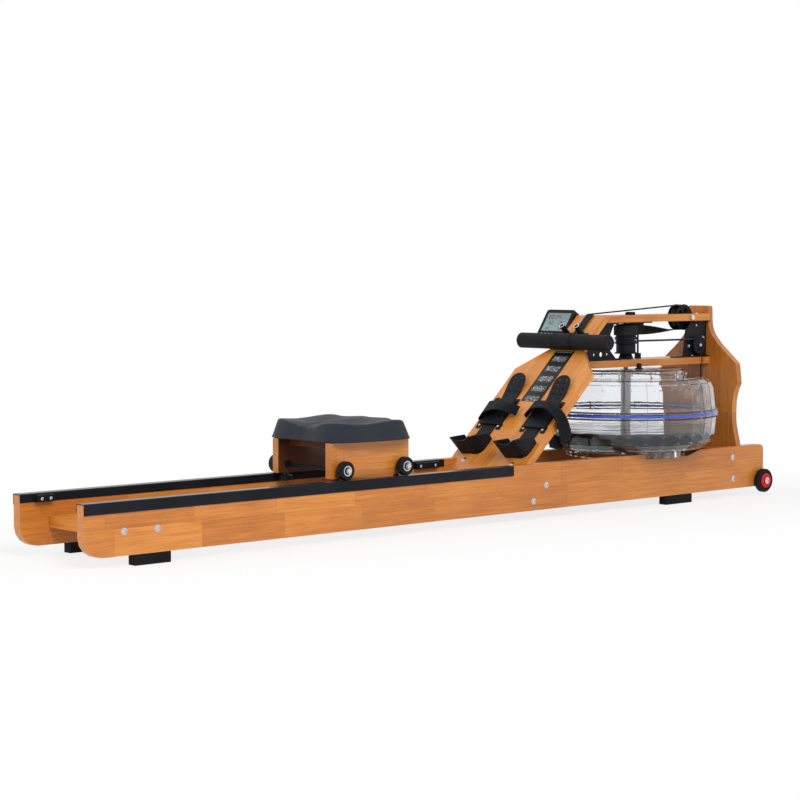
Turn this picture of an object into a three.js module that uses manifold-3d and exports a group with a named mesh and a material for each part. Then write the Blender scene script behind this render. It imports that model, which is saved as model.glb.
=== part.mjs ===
// A water rowing machine. Two long side boards carry a rolling seat, an inclined footboard and a round
// water tank. A pull on the handle draws a strap off a drum, the drum turns a bladed rotor in the water,
// and an elastic cord winds the strap back.
// Millimetres, +Z up, +X from the rear end of the boards to the tank, +Y to the rower's left.
import * as THREE from 'three';
import { mergeVertices } from 'three/addons/utils/BufferGeometryUtils.js';
import Module from 'manifold-3d';

const wasm = await Module();
wasm.setup();

// Driving dimensions
const boardLength = 2100;
const boardHeight = 110;
const boardThickness = 24;
const boardGap = 220;
const footHeight = 23;
const inclineHeight = 135;
const inclineAngle = THREE.MathUtils.degToRad(44.1);
const footboardThickness = 18;
const footboardTop = 478;
const backboardThickness = 18;
const tankRadius = 235;

// Spacings along the boards, counted back from their front end
const backboardInset = 110;
const tankSetback = 280;
const inclineSetback = 484;
const seatSetback = 461.5;
const backboardX = boardLength - backboardInset;
const tankX = backboardX - tankSetback;
const inclineX = tankX - inclineSetback;
const seatX = inclineX - seatSetback;

// Clearances
const restGap = 0.3;
const runGap = 0.3;
const overrun = 2;
const weldDistance = 0.0005;

// Counts of flat faces round the curved pieces
const fineSides = 32;
const roundSides = 20;
const smallSides = 10;
const holeSides = 8;
const nutSides = 6;
const filletSteps = 2;

// Places that several pieces share
const boardTop = footHeight + boardHeight;
const innerHalf = boardGap / 2;
const outerHalf = innerHalf + boardThickness;
const betweenHalf = innerHalf - restGap;
const sides = [['left', 1], ['right', -1]];

const xAxis = new THREE.Vector3(1, 0, 0);
const yAxis = new THREE.Vector3(0, 1, 0);
const zAxis = new THREE.Vector3(0, 0, 1);

// Looks
const look = (color, roughness, metalness = 0) => () => (
  new THREE.MeshStandardMaterial({ color, roughness, metalness })
);
const wood = look(0xc8803a, 0.45);
const blackMetal = look(0x1b1f26, 0.4, 0.3);
const blackPlastic = look(0x15171b, 0.5);
const steel = look(0xb9bcc0, 0.3, 0.9);
const clearPlastic = look(0xdde6ea, 0.1);
const waterLook = look(0x8fb4c4, 0.05);
const blueSeal = look(0x1f3fa8, 0.5);
const webbing = look(0x17181a, 0.85);
const upholstery = look(0x26282c, 0.6);
const tyre = look(0x101112, 0.8);
const screenLook = look(0x7f8d84, 0.3);
const rubber = look(0x1a1b1d, 0.75);

// Geometry helpers
function signedVolume(position, index) {
  const [a, b, c] = [new THREE.Vector3(), new THREE.Vector3(), new THREE.Vector3()];
  let volume = 0;
  for (let i = 0; i < index.length; i += 3) {
    a.fromBufferAttribute(position, index[i]);
    b.fromBufferAttribute(position, index[i + 1]);
    c.fromBufferAttribute(position, index[i + 2]);
    volume += a.dot(b.cross(c)) / 6;
  }
  return volume;
}

// One skin with shared corners, no collapsed triangle, and its faces pointing out
function closed(geometry) {
  const bare = new THREE.BufferGeometry();
  bare.setAttribute('position', geometry.getAttribute('position'));
  if (geometry.index) bare.setIndex(geometry.index);
  const merged = mergeVertices(bare, weldDistance);
  const index = merged.index.array;
  const kept = [];
  for (let i = 0; i < index.length; i += 3) {
    const [a, b, c] = [index[i], index[i + 1], index[i + 2]];
    if (a !== b && b !== c && c !== a) kept.push(a, b, c);
  }
  if (signedVolume(merged.getAttribute('position'), kept) < 0) kept.reverse();
  merged.setIndex(kept);
  return merged;
}

function asSolid(geometry) {
  const skin = closed(geometry);
  return new wasm.Manifold(new wasm.Mesh({
    numProp: 3,
    vertProperties: new Float32Array(skin.getAttribute('position').array),
    triVerts: new Uint32Array(skin.index.array),
  }));
}

function asGeometry(solid) {
  const mesh = solid.getMesh();
  const geometry = new THREE.BufferGeometry();
  geometry.setAttribute('position', new THREE.BufferAttribute(new Float32Array(mesh.vertProperties), 3));
  geometry.setIndex(new THREE.BufferAttribute(new Uint32Array(mesh.triVerts), 1));
  return geometry;
}

function cut(geometry, ...tools) {
  let solid = asSolid(geometry);
  for (const tool of tools) solid = solid.subtract(asSolid(tool));
  return asGeometry(solid);
}

function join(geometry, ...others) {
  let solid = asSolid(geometry);
  for (const other of others) solid = solid.add(asSolid(other));
  return asGeometry(solid);
}

function common(geometry, other) {
  return asGeometry(asSolid(geometry).intersect(asSolid(other)));
}

function block(x0, x1, y0, y1, z0, z1) {
  const geometry = new THREE.BoxGeometry(Math.abs(x1 - x0), Math.abs(y1 - y0), Math.abs(z1 - z0));
  return geometry.translate((x0 + x1) / 2, (y0 + y1) / 2, (z0 + z1) / 2);
}

// An outline whose corners are [x, y, radius]; a corner without a radius stays sharp
function outline(corners) {
  const shape = new THREE.Shape();
  corners.forEach(([x, y, radius = 0], i) => {
    const here = new THREE.Vector2(x, y);
    const [beforeX, beforeY] = corners.at(i - 1);
    const [afterX, afterY] = corners[(i + 1) % corners.length];
    const before = new THREE.Vector2(beforeX, beforeY).sub(here).normalize();
    const after = new THREE.Vector2(afterX, afterY).sub(here).normalize();
    const half = Math.acos(before.dot(after)) / 2;
    const start = here.clone().addScaledVector(before, radius / Math.tan(half));
    const end = here.clone().addScaledVector(after, radius / Math.tan(half));
    if (i === 0) shape.moveTo(start.x, start.y);
    if (radius === 0) shape.lineTo(start.x, start.y);
    if (radius > 0) {
      const middle = before.clone().add(after).normalize();
      const centre = here.clone().addScaledVector(middle, radius / Math.sin(half));
      const startAngle = start.sub(centre).angle();
      const endAngle = end.sub(centre).angle();
      shape.absarc(centre.x, centre.y, radius, startAngle, endAngle, after.cross(before) < 0);
    }
  });
  shape.closePath();
  return shape;
}

function extrude(shape, depth, curveSegments = filletSteps) {
  return new THREE.ExtrudeGeometry(shape, { depth, bevelEnabled: false, steps: 1, curveSegments });
}

// Outlines drawn in Y and Z, in X and Z, or in X and Y, run out between two places on the third axis
function alongX(shape, low, high) {
  const turn = new THREE.Matrix4().makeBasis(yAxis, zAxis, xAxis);
  return extrude(shape, high - low).applyMatrix4(turn).translate(low, 0, 0);
}

function alongY(shape, low, high) {
  return extrude(shape, high - low).rotateX(Math.PI / 2).translate(0, high, 0);
}

function alongZ(shape, low, high) {
  return extrude(shape, high - low).translate(0, 0, low);
}

// Bodies of revolution; a profile's corners are [radius, place on the axis]
function turnedY(corners, faces = roundSides) {
  const ring = corners[0][0] > 0 ? [...corners, corners[0]] : corners;
  const points = ring.map(([radius, place]) => new THREE.Vector2(radius, place));
  return new THREE.LatheGeometry(points, faces);
}

function turnedZ(corners, faces = roundSides) {
  return turnedY(corners, faces).rotateX(Math.PI / 2);
}

function rodY(radius, low, high, faces = roundSides) {
  return turnedY([[0, low], [radius, low], [radius, high], [0, high]], faces);
}

function rodZ(radius, low, high, faces = roundSides) {
  return turnedZ([[0, low], [radius, low], [radius, high], [0, high]], faces);
}

// A flat band through stations that give its centre, the direction of its width, and its width
function band(stations, thickness) {
  const positions = [];
  stations.forEach(({ at, across, width }, i) => {
    const before = stations[Math.max(i - 1, 0)].at;
    const after = stations[Math.min(i + 1, stations.length - 1)].at;
    const along = after.clone().sub(before);
    const lift = along.cross(across).normalize();
    for (const [side, face] of [[1, 1], [-1, 1], [-1, -1], [1, -1]]) {
      const corner = at.clone().addScaledVector(across, side * width / 2);
      positions.push(...corner.addScaledVector(lift, face * thickness / 2).toArray());
    }
  });
  const index = [0, 1, 2, 0, 2, 3];
  for (let i = 0; i + 1 < stations.length; i += 1) {
    for (let k = 0; k < 4; k += 1) {
      const [a, b] = [4 * i + k, 4 * i + (k + 1) % 4];
      index.push(a, a + 4, b, b, a + 4, b + 4);
    }
  }
  const last = 4 * (stations.length - 1);
  index.push(last, last + 2, last + 1, last, last + 3, last + 2);
  const geometry = new THREE.BufferGeometry();
  geometry.setAttribute('position', new THREE.Float32BufferAttribute(positions, 3));
  geometry.setIndex(index);
  return geometry;
}

// Evenly stepped angles or shares from one value to another, both ends included
function stepped(from, to, steps) {
  return Array.from({ length: steps + 1 }, (_, i) => from + (to - from) * i / steps);
}

function piece(parent, name, geometry, material, place = [0, 0, 0]) {
  const mesh = new THREE.Mesh(closed(geometry), material());
  mesh.name = name;
  mesh.position.set(...place);
  parent.add(mesh);
}

// The model stands with the middle of its length over the origin
const wheelInset = 11;
const wheelX = boardLength - wheelInset;
const wheelRadius = 31;
const overallLength = wheelX + wheelRadius;
const machine = new THREE.Group();
machine.position.x = -overallLength / 2;

// The inclined group has its X up the footboard's face and its Z out of the face
const inclined = new THREE.Group();
inclined.position.set(inclineX, 0, inclineHeight);
inclined.rotation.y = -inclineAngle;
machine.add(inclined);
const inclinedMatrix = new THREE.Matrix4().makeRotationY(-inclineAngle);
inclinedMatrix.setPosition(inclineX, 0, inclineHeight);
const seenFromIncline = (geometry) => geometry.applyMatrix4(inclinedMatrix.clone().invert());

// The place in X where a plane that lies this deep behind the footboard's face has this height
function behindFace(height, depth) {
  return inclineX + (height - inclineHeight) / Math.tan(inclineAngle) + depth / Math.sin(inclineAngle);
}
const neckSeat = footboardThickness + restGap;

// Side boards, with the tank's pocket, a stepped top under the rails and the transport axle's hole
const boardRearRadius = 42;
const boardFrontRadius = 14;
const railSetback = 47;
const railLength = inclineX - railSetback;
const railThickness = 2;
const pocketDepth = 13;
const baseRingShare = 30 / 47;
const baseRingRadius = tankRadius * baseRingShare;
const pocketClearance = 1.5;
const troughRear = 60;
const troughFront = 90;
const troughRearTop = 78;
const troughFrontTop = 136;
const wheelHeight = 38;
const transportAxleRadius = 6;

const underRail = boardTop - railThickness - restGap;
const pocketFloor = boardTop - pocketDepth;
const boardSide = outline([
  [0, footHeight, boardRearRadius],
  [boardLength, footHeight],
  [boardLength, boardTop, boardFrontRadius],
  [railLength + restGap, boardTop],
  [railLength + restGap, underRail],
  [0, underRail],
]);
const trough = outline([
  [tankX - troughRear, pocketFloor],
  [tankX + troughFront, pocketFloor],
  [tankX + troughFrontTop, boardTop],
  [tankX + troughFrontTop, boardTop + overrun],
  [tankX - troughRearTop, boardTop + overrun],
  [tankX - troughRearTop, boardTop],
]);
for (const [side, sign] of sides) {
  const [low, high] = [sign * innerHalf, sign * outerHalf].sort((a, b) => a - b);
  const pocket = rodZ(baseRingRadius + pocketClearance, pocketFloor, boardTop + overrun, fineSides);
  const axleHole = rodY(transportAxleRadius + runGap, low - overrun, high + overrun, smallSides);
  piece(machine, `${side}_side_board`, cut(
    alongY(boardSide, low, high),
    pocket.translate(tankX, 0, 0),
    alongY(trough, low - overrun, high + overrun),
    axleHole.translate(wheelX, 0, wheelHeight),
  ), wood);
}

// Rails: channel caps on the boards, with a stop for the guide wheels near each end
const railOuterDepth = 23;
const railInnerDepth = 18;
const stopThickness = 12;
const stopHeight = 15;
const rearStopX = 35;
const rearStopLength = 41;
const frontStopInset = 98;
const frontStopX = railLength - frontStopInset;
const frontStopLength = 72;
const stopDrop = 3;

const railInner = innerHalf - restGap - railThickness;
const railOuter = outerHalf + restGap + railThickness;
for (const [side, sign] of sides) {
  const section = outline([
    [sign * railOuter, boardTop - railOuterDepth],
    [sign * railOuter, boardTop, railThickness],
    [sign * railInner, boardTop, railThickness],
    [sign * railInner, boardTop - railInnerDepth],
    [sign * (railInner + railThickness), boardTop - railInnerDepth],
    [sign * (railInner + railThickness), boardTop - railThickness],
    [sign * (railOuter - railThickness), boardTop - railThickness],
    [sign * (railOuter - railThickness), boardTop - railOuterDepth],
  ]);
  const stops = [[rearStopX, rearStopLength], [frontStopX, frontStopLength]].map(([start, length]) => block(
    start, start + length,
    sign * (railInner - stopThickness), sign * (railInner + railThickness / 2),
    boardTop - stopDrop - stopHeight, boardTop - stopDrop,
  ));
  piece(machine, `${side}_rail`, join(alongX(section, 0, railLength), ...stops), blackMetal);
}

// Crossboards
const rearCrossX = 70;
const rearCrossLength = 130;
const rearCrossHeight = 72;
const rearCrossThickness = 25;
const frontCrossBottom = 30;
const frontCrossTop = 126;
const middleFoot = 62;
const middleHead = 28;
const middleBack = 92.6;
const middleLegSeat = 19;
const middleThickness = 24;

piece(machine, 'rear_crossboard', block(
  rearCrossX, rearCrossX + rearCrossLength, -betweenHalf, betweenHalf,
  rearCrossHeight - rearCrossThickness / 2, rearCrossHeight + rearCrossThickness / 2,
), wood);

const frontCrossFront = backboardX - restGap;
const frontCrossRear = frontCrossFront - boardThickness;
piece(machine, 'front_crossboard', block(
  frontCrossRear, frontCrossFront, -betweenHalf, betweenHalf, frontCrossBottom, frontCrossTop,
), wood);

// The middle crossboard lies parallel to the footboard, and its leg meets the footboard's back
piece(inclined, 'middle_crossboard', alongY(outline([
  [-middleFoot, -middleBack],
  [middleHead, -middleBack],
  [middleHead, middleThickness - middleBack],
  [middleThickness - middleLegSeat, middleThickness - middleBack],
  [middleThickness - middleLegSeat, -neckSeat],
  [-middleLegSeat, -neckSeat],
  [-middleLegSeat, middleThickness - middleBack],
  [-middleFoot, middleThickness - middleBack],
]), -betweenHalf, betweenHalf), wood);

// Feet
const rearFootX = 120;
const rearFootLength = 87;
const frontFootSetback = 272;
const frontFootX = backboardX - frontFootSetback;
const frontFootLength = 97;
const feet = [['rear', rearFootX, rearFootLength], ['front', frontFootX, frontFootLength]];
for (const [side, sign] of sides) {
  for (const [end, start, length] of feet) {
    piece(machine, `${end}_${side}_foot`, block(
      start, start + length, sign * innerHalf, sign * outerHalf, 0, footHeight - restGap,
    ), rubber);
  }
}

// Footboard: its tail fits between the side boards, its wide part rests on them, its neck carries the shelf
const footboardTail = 112;
const footboardHalf = 130;
const shoulderHeight = 302;
const neckHeight = 384;
const neckHalf = 48;
const shoulderRadius = 8;

const neckEnd = (footboardTop - inclineHeight) / Math.sin(inclineAngle) + 2 * footboardThickness;
const footboardShape = outline([
  [-footboardTail, -footboardHalf],
  [shoulderHeight, -footboardHalf, shoulderRadius],
  [neckHeight, -neckHalf, shoulderRadius],
  [neckEnd, -neckHalf],
  [neckEnd, neckHalf],
  [neckHeight, neckHalf, shoulderRadius],
  [shoulderHeight, footboardHalf, shoulderRadius],
  [-footboardTail, footboardHalf],
]);
const besideTail = sides.map(([, sign]) => seenFromIncline(block(
  inclineX - footboardTail, inclineX + footboardTail,
  sign * betweenHalf, sign * (footboardHalf + overrun), 0, boardTop + restGap,
)));
const overNeck = seenFromIncline(block(
  inclineX, backboardX, -footboardHalf, footboardHalf, footboardTop, footboardTop + neckEnd,
));
piece(inclined, 'footboard', cut(
  alongZ(footboardShape, -footboardThickness, 0), ...besideTail, overNeck,
), wood);

// Backboard: a tail between the side boards, feet on them, a waist, shoulders and a narrow head
const backboardBottom = 30;
const backboardHeight = 365;
const backboardHalf = 134;
const backboardShares = [
  [1, 0, 0],
  [0.885, 0.16, 1],
  [0.885, 0.37, 1],
  [1.01, 0.45, 0.25],
  [0.965, 0.59, 0.08],
  [0.52, 0.725, 0.35],
  [0.27, 0.82, 0.5],
  [0.255, 1, 0.05],
];
const backboardFoot = boardTop + restGap;
const backboardSide = [
  [betweenHalf, backboardBottom, 0],
  [betweenHalf, backboardFoot, 0],
  ...backboardShares.map(([across, up, radius]) => [
    across * backboardHalf, backboardFoot + up * backboardHeight, radius * backboardHalf,
  ]),
];
const backboardOtherSide = backboardSide.map(([y, z, radius]) => [-y, z, radius]).reverse();
piece(machine, 'backboard', alongX(
  outline([...backboardSide, ...backboardOtherSide]), backboardX, backboardX + backboardThickness,
), wood);

// Shelves between the footboard's back and the backboard
const shelfThickness = 18;
const shelfHalf = 40;
const lowerShelfHeight = 347;
const shaftRadius = 6;
const strapPulleySetback = 72;
const strapPulleyX = backboardX - strapPulleySetback;
const strapPulleyRadius = 34;
const strapPulleyHalf = 14;
const slotClearance = 2;
const pulleyAxleRadius = 4;
const bearingBossRadius = 11;
const capBoltReach = 16;
const capBoltX = tankX + capBoltReach;
const capBoltRadius = 4;
const cordRadius = 2.5;
const cordSetback = 28.1;
const cordX = backboardX - cordSetback;
const cordY = 36;
const cordNotchRadius = 4.5;
const shaftClearance = 1;

const topShelfBottom = footboardTop - shelfThickness;
const lowerShelfTop = lowerShelfHeight + shelfThickness;
const strapPulleyHeight = footboardTop - shelfThickness / 2;
const shelfFront = backboardX - restGap;
const shelf = (low, high) => alongY(outline([
  [behindFace(low, neckSeat), low],
  [shelfFront, low],
  [shelfFront, high],
  [behindFace(high, neckSeat), high],
]), -shelfHalf, shelfHalf);
const slotHalf = strapPulleyRadius + slotClearance;
piece(machine, 'top_shelf', cut(
  shelf(topShelfBottom, footboardTop),
  block(
    strapPulleyX - slotHalf, strapPulleyX + slotHalf,
    -strapPulleyHalf - slotClearance / 2, strapPulleyHalf + slotClearance / 2,
    topShelfBottom - overrun, footboardTop + overrun,
  ),
  rodY(pulleyAxleRadius + runGap, -shelfHalf - overrun, shelfHalf + overrun, smallSides)
    .translate(strapPulleyX, 0, strapPulleyHeight),
  rodZ(bearingBossRadius + restGap, topShelfBottom - overrun, footboardTop + overrun)
    .translate(tankX, 0, 0),
  rodZ(capBoltRadius + restGap, topShelfBottom - overrun, footboardTop + overrun, smallSides)
    .translate(capBoltX, 0, 0),
), wood);
piece(machine, 'lower_shelf', cut(
  shelf(lowerShelfHeight, lowerShelfTop),
  rodZ(shaftRadius + shaftClearance, lowerShelfHeight - overrun, lowerShelfTop + overrun)
    .translate(tankX, 0, 0),
  rodZ(cordNotchRadius, lowerShelfHeight - overrun, lowerShelfTop + overrun, smallSides)
    .translate(cordX, -cordY, 0),
  block(
    cordX - cordNotchRadius, cordX + cordNotchRadius, -shelfHalf - overrun, -cordY,
    lowerShelfHeight - overrun, lowerShelfTop + overrun,
  ),
), wood);

// Neck bracket: a plate behind the neck that ties the two shelves
const plateThickness = 4;
const neckBracketY = 20;
const neckBracketFlange = 14;
const neckBracketReaches = [163, 104, 72, 57];
const neckBracketShares = [0, 0.3, 0.69, 1];
const neckBracketHoleHeight = 15;
const neckBracketHoles = [[65, 3.8], [90, 6.6], [112, 3.8]];

const bracketBottom = lowerShelfTop + restGap;
const bracketTop = topShelfBottom - restGap;
const bracketSpan = bracketTop - bracketBottom;
const bracketHeights = neckBracketShares.map((share) => bracketBottom + share * bracketSpan);
const bracketEdge = bracketHeights.map((z, i) => [behindFace(z, neckSeat) + neckBracketReaches[i], z]);
const [bracketLow, bracketHigh] = [-neckBracketY - plateThickness / 2, plateThickness / 2 - neckBracketY];
const bracketFlanges = [
  [bracketBottom, bracketBottom + plateThickness, bracketEdge.at(0)],
  [bracketTop - plateThickness, bracketTop, bracketEdge.at(-1)],
].map(([low, high, [edge]]) => block(
  behindFace(high, neckSeat), edge, bracketLow - neckBracketFlange, bracketHigh, low, high,
));
const bracketHoleHeight = bracketBottom + neckBracketHoleHeight;
const bracketHoles = neckBracketHoles.map(([reach, radius]) => (
  rodY(radius, bracketLow - overrun, bracketHigh + overrun, smallSides)
    .translate(behindFace(bracketHoleHeight, neckSeat) + reach, 0, bracketHoleHeight)
));
piece(machine, 'neck_bracket', cut(join(alongY(outline([
  [behindFace(bracketBottom, neckSeat), bracketBottom],
  ...bracketEdge,
  [behindFace(bracketTop, neckSeat), bracketTop],
]), bracketLow, bracketHigh), ...bracketFlanges), ...bracketHoles), blackMetal);

// Transport wheels on an axle through both side boards
const wheelY = 145;
const wheelWidth = 16;
const wheelRimRadius = 22;
const wheelHubRadius = 19;
const wheelDish = 3;
const wheelShoulder = 3;
const axleHeadRadius = 9;
const axleHeadLength = 4;

const wheelHalf = wheelWidth / 2;
const axleFlange = wheelY - wheelHalf - runGap;
const axleHead = wheelY + wheelHalf + runGap;
piece(machine, 'transport_axle', turnedY([
  [0, -axleHead - axleHeadLength],
  [axleHeadRadius, -axleHead - axleHeadLength],
  [axleHeadRadius, -axleHead],
  [transportAxleRadius, -axleHead],
  [transportAxleRadius, -axleFlange],
  [axleHeadRadius, -axleFlange],
  [axleHeadRadius, -outerHalf - restGap],
  [transportAxleRadius, -outerHalf - restGap],
  [transportAxleRadius, outerHalf + restGap],
  [axleHeadRadius, outerHalf + restGap],
  [axleHeadRadius, axleFlange],
  [transportAxleRadius, axleFlange],
  [transportAxleRadius, axleHead],
  [axleHeadRadius, axleHead],
  [axleHeadRadius, axleHead + axleHeadLength],
  [0, axleHead + axleHeadLength],
], smallSides), steel, [wheelX, 0, wheelHeight]);
for (const [side, sign] of sides) {
  piece(machine, `${side}_transport_wheel`, turnedY([
    [transportAxleRadius + runGap, -wheelHalf],
    [wheelHubRadius, -wheelHalf],
    [wheelHubRadius, wheelDish - wheelHalf],
    [wheelRimRadius, wheelDish - wheelHalf],
    [wheelRimRadius, -wheelHalf],
    [wheelRadius - wheelShoulder, -wheelHalf],
    [wheelRadius, wheelShoulder - wheelHalf],
    [wheelRadius, wheelHalf - wheelShoulder],
    [wheelRadius - wheelShoulder, wheelHalf],
    [wheelRimRadius, wheelHalf],
    [wheelRimRadius, wheelHalf - wheelDish],
    [wheelHubRadius, wheelHalf - wheelDish],
    [wheelHubRadius, wheelHalf],
    [transportAxleRadius + runGap, wheelHalf],
  ], roundSides), tyre, [wheelX, sign * wheelY, wheelHeight]);
}

// Tank: two clear shells bolted together round a seal, a lid, and the water
const tank = new THREE.Group();
tank.position.x = tankX;
machine.add(tank);

const shellWall = 3.5;
const baseRingWidth = 20;
const floorRise = 1.4;
const flangeWidth = 8;
const flangeThickness = 4;
const seamHeight = 232;
const sealHalf = 1.7;
const sealWidth = 10;
const lowerShellShares = [[0.711, 0.04], [0.838, 0.11], [0.932, 0.28], [0.966, 0.48], [0.979, 0.8]];
const shoulderLine = 322;
const upperShellShares = [[0.975, 0.14], [0.95, 0.7], [0.928, 0.85], [0.89, 0.96], [0.84, 1]];
const lidRim = 7;
const lidFlange = 4.7;
const lidCapRadius = baseRingRadius;
const lidRadius = lidCapRadius + lidRim;
const lidTop = 342;
const lidEdge = 4;
const lidLip = 10;
const lidOpening = lidCapRadius - lidLip;
const bearingRadius = 20;
const bearingHeight = 146;
const bearingDepth = 8;
const waterHeight = 180;
const tankShaftRadius = 12.5;

const ringBottom = pocketFloor + restGap;
const shellFloor = boardTop - floorRise;
const lowerFlangeTop = seamHeight - sealHalf - restGap;
const upperFlangeBottom = seamHeight + sealHalf + restGap;
const shellRim = tankRadius - flangeWidth / 2;
const lowerSpan = lowerFlangeTop - flangeThickness - shellFloor;
const lowerOuter = lowerShellShares.map(([out, up]) => [out * tankRadius, shellFloor + up * lowerSpan]);
const lowerInner = lowerOuter.map(([radius, height]) => [radius - shellWall, height + shellWall]);
piece(tank, 'tank_lower_shell', turnedZ([
  [0, shellFloor],
  [baseRingRadius - baseRingWidth, shellFloor],
  [baseRingRadius - baseRingWidth, ringBottom],
  [baseRingRadius, ringBottom],
  [baseRingRadius, boardTop + restGap],
  ...lowerOuter,
  [shellRim, lowerFlangeTop - flangeThickness],
  [tankRadius, lowerFlangeTop - flangeThickness],
  [tankRadius, lowerFlangeTop],
  [shellRim - shellWall, lowerFlangeTop],
  ...lowerInner.toReversed(),
  [baseRingRadius - shellWall, shellFloor + shellWall],
  [bearingRadius, shellFloor + shellWall],
  [bearingRadius, bearingHeight],
  [shaftRadius + runGap, bearingHeight],
  [shaftRadius + runGap, bearingHeight - bearingDepth],
  [0, bearingHeight - bearingDepth],
], fineSides), clearPlastic);

const ring = (inner, outer, low, high) => [[inner, low], [outer, low], [outer, high], [inner, high]];
piece(tank, 'tank_seal', turnedZ(ring(
  tankRadius - sealWidth, tankRadius - restGap, seamHeight - sealHalf, seamHeight + sealHalf,
), fineSides), blueSeal);

const upperSpan = shoulderLine - upperFlangeBottom - flangeThickness;
const upperOuter = upperShellShares.map(([out, up]) => [
  out * tankRadius, upperFlangeBottom + flangeThickness + up * upperSpan,
]);
const upperRise = shoulderLine - upperFlangeBottom;
const upperInner = upperOuter.map(([radius, height]) => [
  radius - shellWall, height - shellWall * (height - upperFlangeBottom) / upperRise,
]);
piece(tank, 'tank_upper_shell', turnedZ([
  [shellRim - shellWall, upperFlangeBottom],
  [tankRadius, upperFlangeBottom],
  [tankRadius, upperFlangeBottom + flangeThickness],
  [shellRim, upperFlangeBottom + flangeThickness],
  ...upperOuter,
  [lidOpening, shoulderLine],
  [lidOpening, shoulderLine - shellWall],
  ...upperInner.toReversed(),
], fineSides), clearPlastic);

const lidBottom = shoulderLine + restGap;
piece(tank, 'tank_lid', turnedZ([
  [shaftRadius + shaftClearance, lidTop],
  [lidCapRadius - lidEdge, lidTop],
  [lidCapRadius, lidTop - lidEdge],
  [lidCapRadius, lidBottom + lidFlange],
  [lidRadius, lidBottom + lidFlange],
  [lidRadius, lidBottom],
  [lidCapRadius - lidEdge, lidBottom],
  [lidCapRadius - lidEdge, lidTop - lidEdge],
  [shaftRadius + shaftClearance, lidTop - lidEdge],
], fineSides), clearPlastic);

// Paddle: a hub on the shaft with curved blades
const paddleRadius = baseRingRadius;
const paddleHubRadius = 20;
const bladeCount = 6;
const bladeHeight = 45;
const bladeThickness = 4;
const bladeSweep = 62;
const bladeSteps = 6;
const paddleClearance = 2;

const paddleBottom = bearingHeight + paddleClearance + paddleClearance;
const hubBore = tankShaftRadius + runGap;
const bladeLine = new THREE.QuadraticBezierCurve(
  new THREE.Vector2(hubBore + bladeThickness, 0),
  new THREE.Vector2(paddleRadius / 2, 0),
  new THREE.Vector2(Math.sqrt(paddleRadius ** 2 - bladeSweep ** 2) - bladeThickness / 2, bladeSweep),
);
const bladeEdge = (offset) => stepped(0, 1, bladeSteps).map((share) => {
  const along = bladeLine.getTangent(share);
  const point = bladeLine.getPoint(share);
  return [point.x - along.y * offset, point.y + along.x * offset];
});
const bladeShape = outline([...bladeEdge(-bladeThickness / 2), ...bladeEdge(bladeThickness / 2).reverse()]);
const blades = stepped(0, 2 * Math.PI, bladeCount).slice(1).map((angle) => (
  alongZ(bladeShape, paddleBottom, paddleBottom + bladeHeight).rotateZ(angle)
));
const paddleHub = turnedZ(ring(hubBore, paddleHubRadius, paddleBottom, paddleBottom + bladeHeight));
piece(tank, 'paddle', join(paddleHub, ...blades), blackPlastic);

// Water fills the lower shell outside the space that the paddle sweeps
const sweptRadius = paddleRadius + paddleClearance;
const sweptBottom = paddleBottom - paddleClearance;
const waterFloor = shellFloor + shellWall + restGap;
const waterWall = lowerInner.filter(([, height]) => height < waterHeight);
piece(tank, 'water', turnedZ([
  [bearingRadius + restGap, waterFloor],
  [baseRingRadius - shellWall - 2 * restGap, waterFloor],
  ...waterWall.map(([radius, height]) => [radius - 2 * restGap, height + 2 * restGap]),
  [waterWall.at(-1)[0] - restGap, waterHeight],
  [sweptRadius, waterHeight],
  [sweptRadius, sweptBottom],
  [bearingRadius + restGap, sweptBottom],
], fineSides), waterLook);

// Drive parts on the shaft: bearings, and the drum with the cord's groove and the strap's core
const drumBottom = 379;
const drumRadius = 29.5;
const drumWaistRadius = 25;
const drumRim = 2.5;
const drumTaper = 1.5;
const grooveRadius = 22;
const grooveHeight = 411.5;
const grooveHalf = 3.5;
const grooveRim = 3;
const strapCoreRadius = 26;
const strapCoreBottom = 424;
const strapCoreTop = 453;
const drumTop = 455;
const drumNeckRadius = 18;
const lowerBearingRadius = 19;
const lowerBearingNeck = 15;
const lowerBearingFlange = 3;
const bearingGap = 1;

const grooveLow = grooveHeight - grooveHalf;
const grooveHigh = grooveHeight + grooveHalf;
piece(tank, 'drum', turnedZ([
  [shaftRadius + runGap, drumBottom],
  [drumRadius, drumBottom],
  [drumRadius, drumBottom + drumRim],
  [drumWaistRadius, drumBottom + drumRim + drumTaper],
  [drumWaistRadius, grooveLow - grooveRim - drumTaper],
  [drumRadius, grooveLow - grooveRim],
  [drumRadius, grooveLow],
  [grooveRadius, grooveLow + drumTaper / 2],
  [grooveRadius, grooveHigh - drumTaper / 2],
  [drumRadius, grooveHigh],
  [drumRadius, grooveHigh + grooveRim],
  [strapCoreRadius, strapCoreBottom],
  [strapCoreRadius, strapCoreTop],
  [drumNeckRadius, drumTop],
  [shaftRadius + runGap, drumTop],
], roundSides), blackPlastic);

const lowerBearingTop = drumBottom - bearingGap;
piece(tank, 'lower_bearing', turnedZ([
  [shaftRadius + runGap, lowerShelfTop + restGap],
  [lowerBearingRadius, lowerShelfTop + restGap],
  [lowerBearingRadius, lowerShelfTop + restGap + lowerBearingFlange],
  [lowerBearingNeck, lowerBearingTop],
  [shaftRadius + runGap, lowerBearingTop],
]), blackPlastic);

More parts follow.
